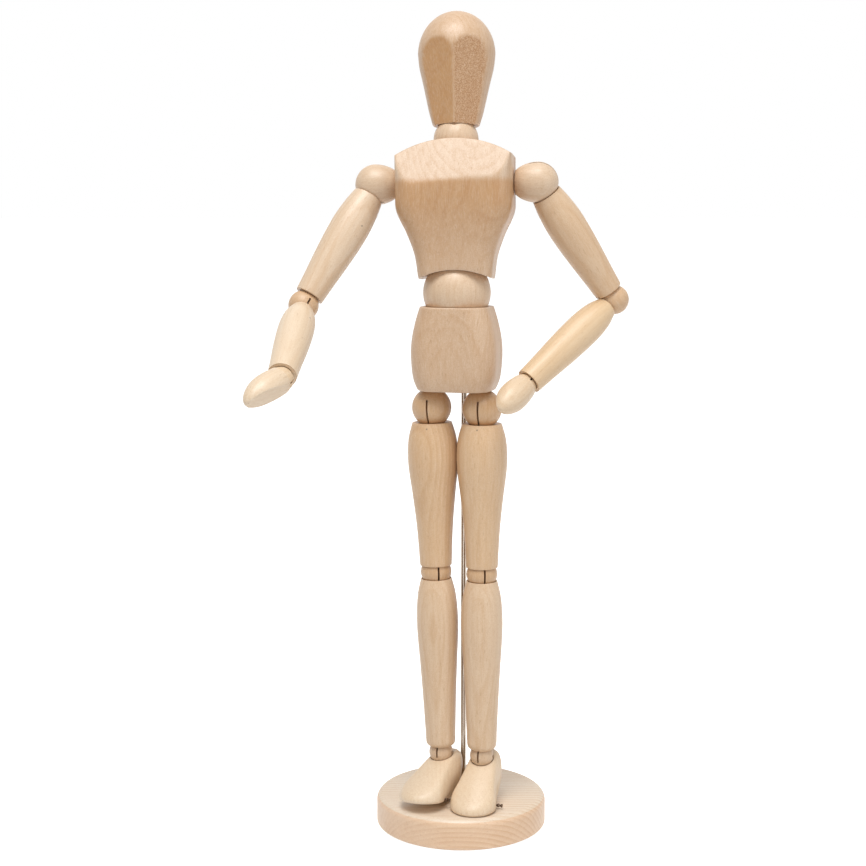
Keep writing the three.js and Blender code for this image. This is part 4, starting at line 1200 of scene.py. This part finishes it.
class MANNEQUIN_OT_hands(bpy.types.Operator):
    """Builds the two egg-shaped hands"""

    bl_idname = "mannequin.hands"
    bl_label = "Hands"

    def execute(self, context):
        """The hand's Z runs back to the wrist, X along the wrist's pin, and its palm faces -Y."""
        for number, side in enumerate(SIDES):
            turn = f"hand_turn_{side}"
            origin, axes = square_frame(joint_at(turn), joint_axis(turn),
                                        joint_axis(f"wrist_bend_{side}"))
            axes = turned_about_z(axes, HAND_TURN[side])
            piece = new_piece(f"mitten_hand_{side}", hand_grid(context.scene.mannequin_shape),
                              origin, axes, (0.02 + 0.02 * number, 0.04, 0.3),
                              paleness=PALENESS[f"hand_{side}"])
            finish_piece(piece, pale_wood(), "hand_wood", f"hand_{side}", f"hand_{side}")
        return {"FINISHED"}


class MANNEQUIN_OT_feet(bpy.types.Operator):
    """Builds the two feet and the wire ends in their soles"""

    bl_idname = "mannequin.feet"
    bl_label = "Feet"

    def execute(self, context):
        """The foot's Z points up the ankle, and its toe points to -Y."""
        shape = context.scene.mannequin_shape
        for number, side in enumerate(SIDES):
            origin, axes = joint_frame(f"foot_turn_{side}", f"ankle_bend_{side}")
            if axes[0][0] < 0:
                axes = turned_about_z(axes, 180)
            axes = turned_about_z(axes, FOOT_TURN[side])
            piece = new_piece(f"wooden_foot_{side}", foot_grid(shape), origin, axes,
                              (0.03 + 0.02 * number, 0.06, 0.4),
                              paleness=PALENESS["foot"])
            finish_piece(piece, pale_wood(), "hand_wood", f"foot_{side}", f"foot_{side}")
            wire = new_piece(f"sole_wire_{side}", wire_grid(WIRE_OUT[side]), origin, axes,
                             (0.0, 0.0, 0.0))
            finish_piece(wire, material_named("dark wire", steel, DARK_WIRE, 0.5),
                         "wire_steel", f"foot_{side}", f"sole_pin_{side}")
        return {"FINISHED"}


class MANNEQUIN_OT_metal(bpy.types.Operator):
    """Finishes the hooks, springs and links inside the figure"""

    bl_idname = "mannequin.metal"
    bl_label = "Wires and springs"

    def execute(self, context):
        """The model's own solids stay and get drawn steel."""
        colour = tuple(context.scene.mannequin_finish.steel)
        wire = material_named("wire steel", steel, tuple(c * 0.8 for c in colour), 0.32)
        spring = material_named("spring steel", steel, tuple(c * 0.6 for c in colour), 0.36)
        for name, node in frame["nodes"].items():
            hooked = "hook" in name
            if hooked or "spring" in name or "link" in name:
                node.data.materials.clear()
                node.data.materials.append(wire if hooked else spring)
        return {"FINISHED"}


class MANNEQUIN_OT_stage(bpy.types.Operator):
    """Builds the pale floor, the lights and the camera"""

    bl_idname = "mannequin.stage"
    bl_label = "Studio"

    def execute(self, context):
        """The floor and the sky look white to the camera; the lights stay soft and plain."""
        settings = context.scene.mannequin_studio
        self.floor()
        self.sky(context, settings.sky_level)
        self.light("key_light", KEY_PLACE, settings.key_power)
        self.light("fill_light", FILL_PLACE, settings.fill_power)
        data = bpy.data.cameras.new("photo_camera")
        data.lens = CAMERA_LENS
        data.sensor_width = SENSOR_WIDTH
        data.sensor_fit = "HORIZONTAL"
        camera = linked("photo_camera", data)
        camera.location = CAMERA_PLACE
        camera.rotation_euler = (np.radians(90 - CAMERA_PITCH), 0, 0)
        context.scene.camera = camera
        context.scene.view_settings.view_transform = "Standard"
        return {"FINISHED"}

    def floor(self):
        """A wide pale disc under the base."""
        angle = np.linspace(0, 2 * np.pi, FLOOR_SIDES, endpoint=False)
        rim = np.stack([FLOOR_RADIUS * np.cos(angle), FLOOR_RADIUS * np.sin(angle),
                        np.full(FLOOR_SIDES, -FLOOR_DROP)], -1)
        mesh = bpy.data.meshes.new("floor")
        mesh.from_pydata(rim.tolist(), [], [list(range(FLOOR_SIDES))])
        material = bpy.data.materials.new("pale floor")
        nodes = Nodes(material)
        nodes.put(nodes.shader, {
            "Base Color": (0.75, 0.75, 0.75, 1),
            "Roughness": 0.9,
            "Specular IOR Level": 0.0,
            "Emission Color": WHITE,
            "Emission Strength": nodes.times(nodes.seen_directly(), 0.9),
        })
        mesh.materials.append(material)
        linked("floor", mesh)

    def sky(self, context, level):
        """A world that lights at the given level and is plain white to the camera."""
        world = bpy.data.worlds.new("studio")
        context.scene.world = world
        nodes = Nodes(world, "Background")
        strength = nodes.remap(nodes.seen_directly(), 0.0, 1.0, level, 1.0)
        nodes.put(nodes.shader, {"Strength": strength, "Color": WHITE})

    def light(self, name, position, power):
        """A square soft light that looks at the figure's chest."""
        data = bpy.data.lights.new(name, "AREA")
        data.size = LIGHT_SIZE
        data.energy = power
        lamp = linked(name, data)
        lamp.location = position
        aim = Vector(LIGHT_AIM) - Vector(position)
        lamp.rotation_euler = aim.to_track_quat("-Z", "Y").to_euler()


class MANNEQUIN_PT_panel(bpy.types.Panel):
    """Lists the steps and the settings of the mannequin"""

    bl_label = "Artist Mannequin"
    bl_idname = "MANNEQUIN_PT_panel"
    bl_space_type = "VIEW_3D"
    bl_region_type = "UI"
    bl_category = "Mannequin"

    def draw(self, context):
        """Shows every setting, then one button for each step."""
        for group in ("mannequin_shape", "mannequin_finish", "mannequin_studio"):
            settings = getattr(context.scene, group)
            for name in settings.__annotations__:
                self.layout.prop(settings, name)
        for step in STEPS:
            self.layout.operator(step.bl_idname)


STEPS = (
    MANNEQUIN_OT_base, MANNEQUIN_OT_pelvis, MANNEQUIN_OT_chest, MANNEQUIN_OT_head,
    MANNEQUIN_OT_balls, MANNEQUIN_OT_limbs, MANNEQUIN_OT_hands, MANNEQUIN_OT_feet,
    MANNEQUIN_OT_metal, MANNEQUIN_OT_stage,
)
GROUPS = {
    "mannequin_shape": ShapeSettings,
    "mannequin_finish": FinishSettings,
    "mannequin_studio": StudioSettings,
}


def register():
    """Registers the classes and hangs the settings on the scene."""
    for group in GROUPS.values():
        bpy.utils.register_class(group)
    for name, group in GROUPS.items():
        setattr(bpy.types.Scene, name, PointerProperty(type=group))
    for cls in (*STEPS, MANNEQUIN_PT_panel):
        bpy.utils.register_class(cls)


def unregister():
    """Takes the classes and the settings away again."""
    for cls in reversed((*STEPS, MANNEQUIN_PT_panel)):
        bpy.utils.unregister_class(cls)
    for name in GROUPS:
        delattr(bpy.types.Scene, name)
    for group in reversed(list(GROUPS.values())):
        bpy.utils.unregister_class(group)


def main():
    """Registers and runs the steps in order."""
    register()
    bpy.ops.mannequin.base()
    bpy.ops.mannequin.pelvis()
    bpy.ops.mannequin.chest()
    bpy.ops.mannequin.head()
    bpy.ops.mannequin.balls()
    bpy.ops.mannequin.limbs()
    bpy.ops.mannequin.hands()
    bpy.ops.mannequin.feet()
    bpy.ops.mannequin.metal()
    bpy.ops.mannequin.stage()


if __name__ == "__main__":
    main()
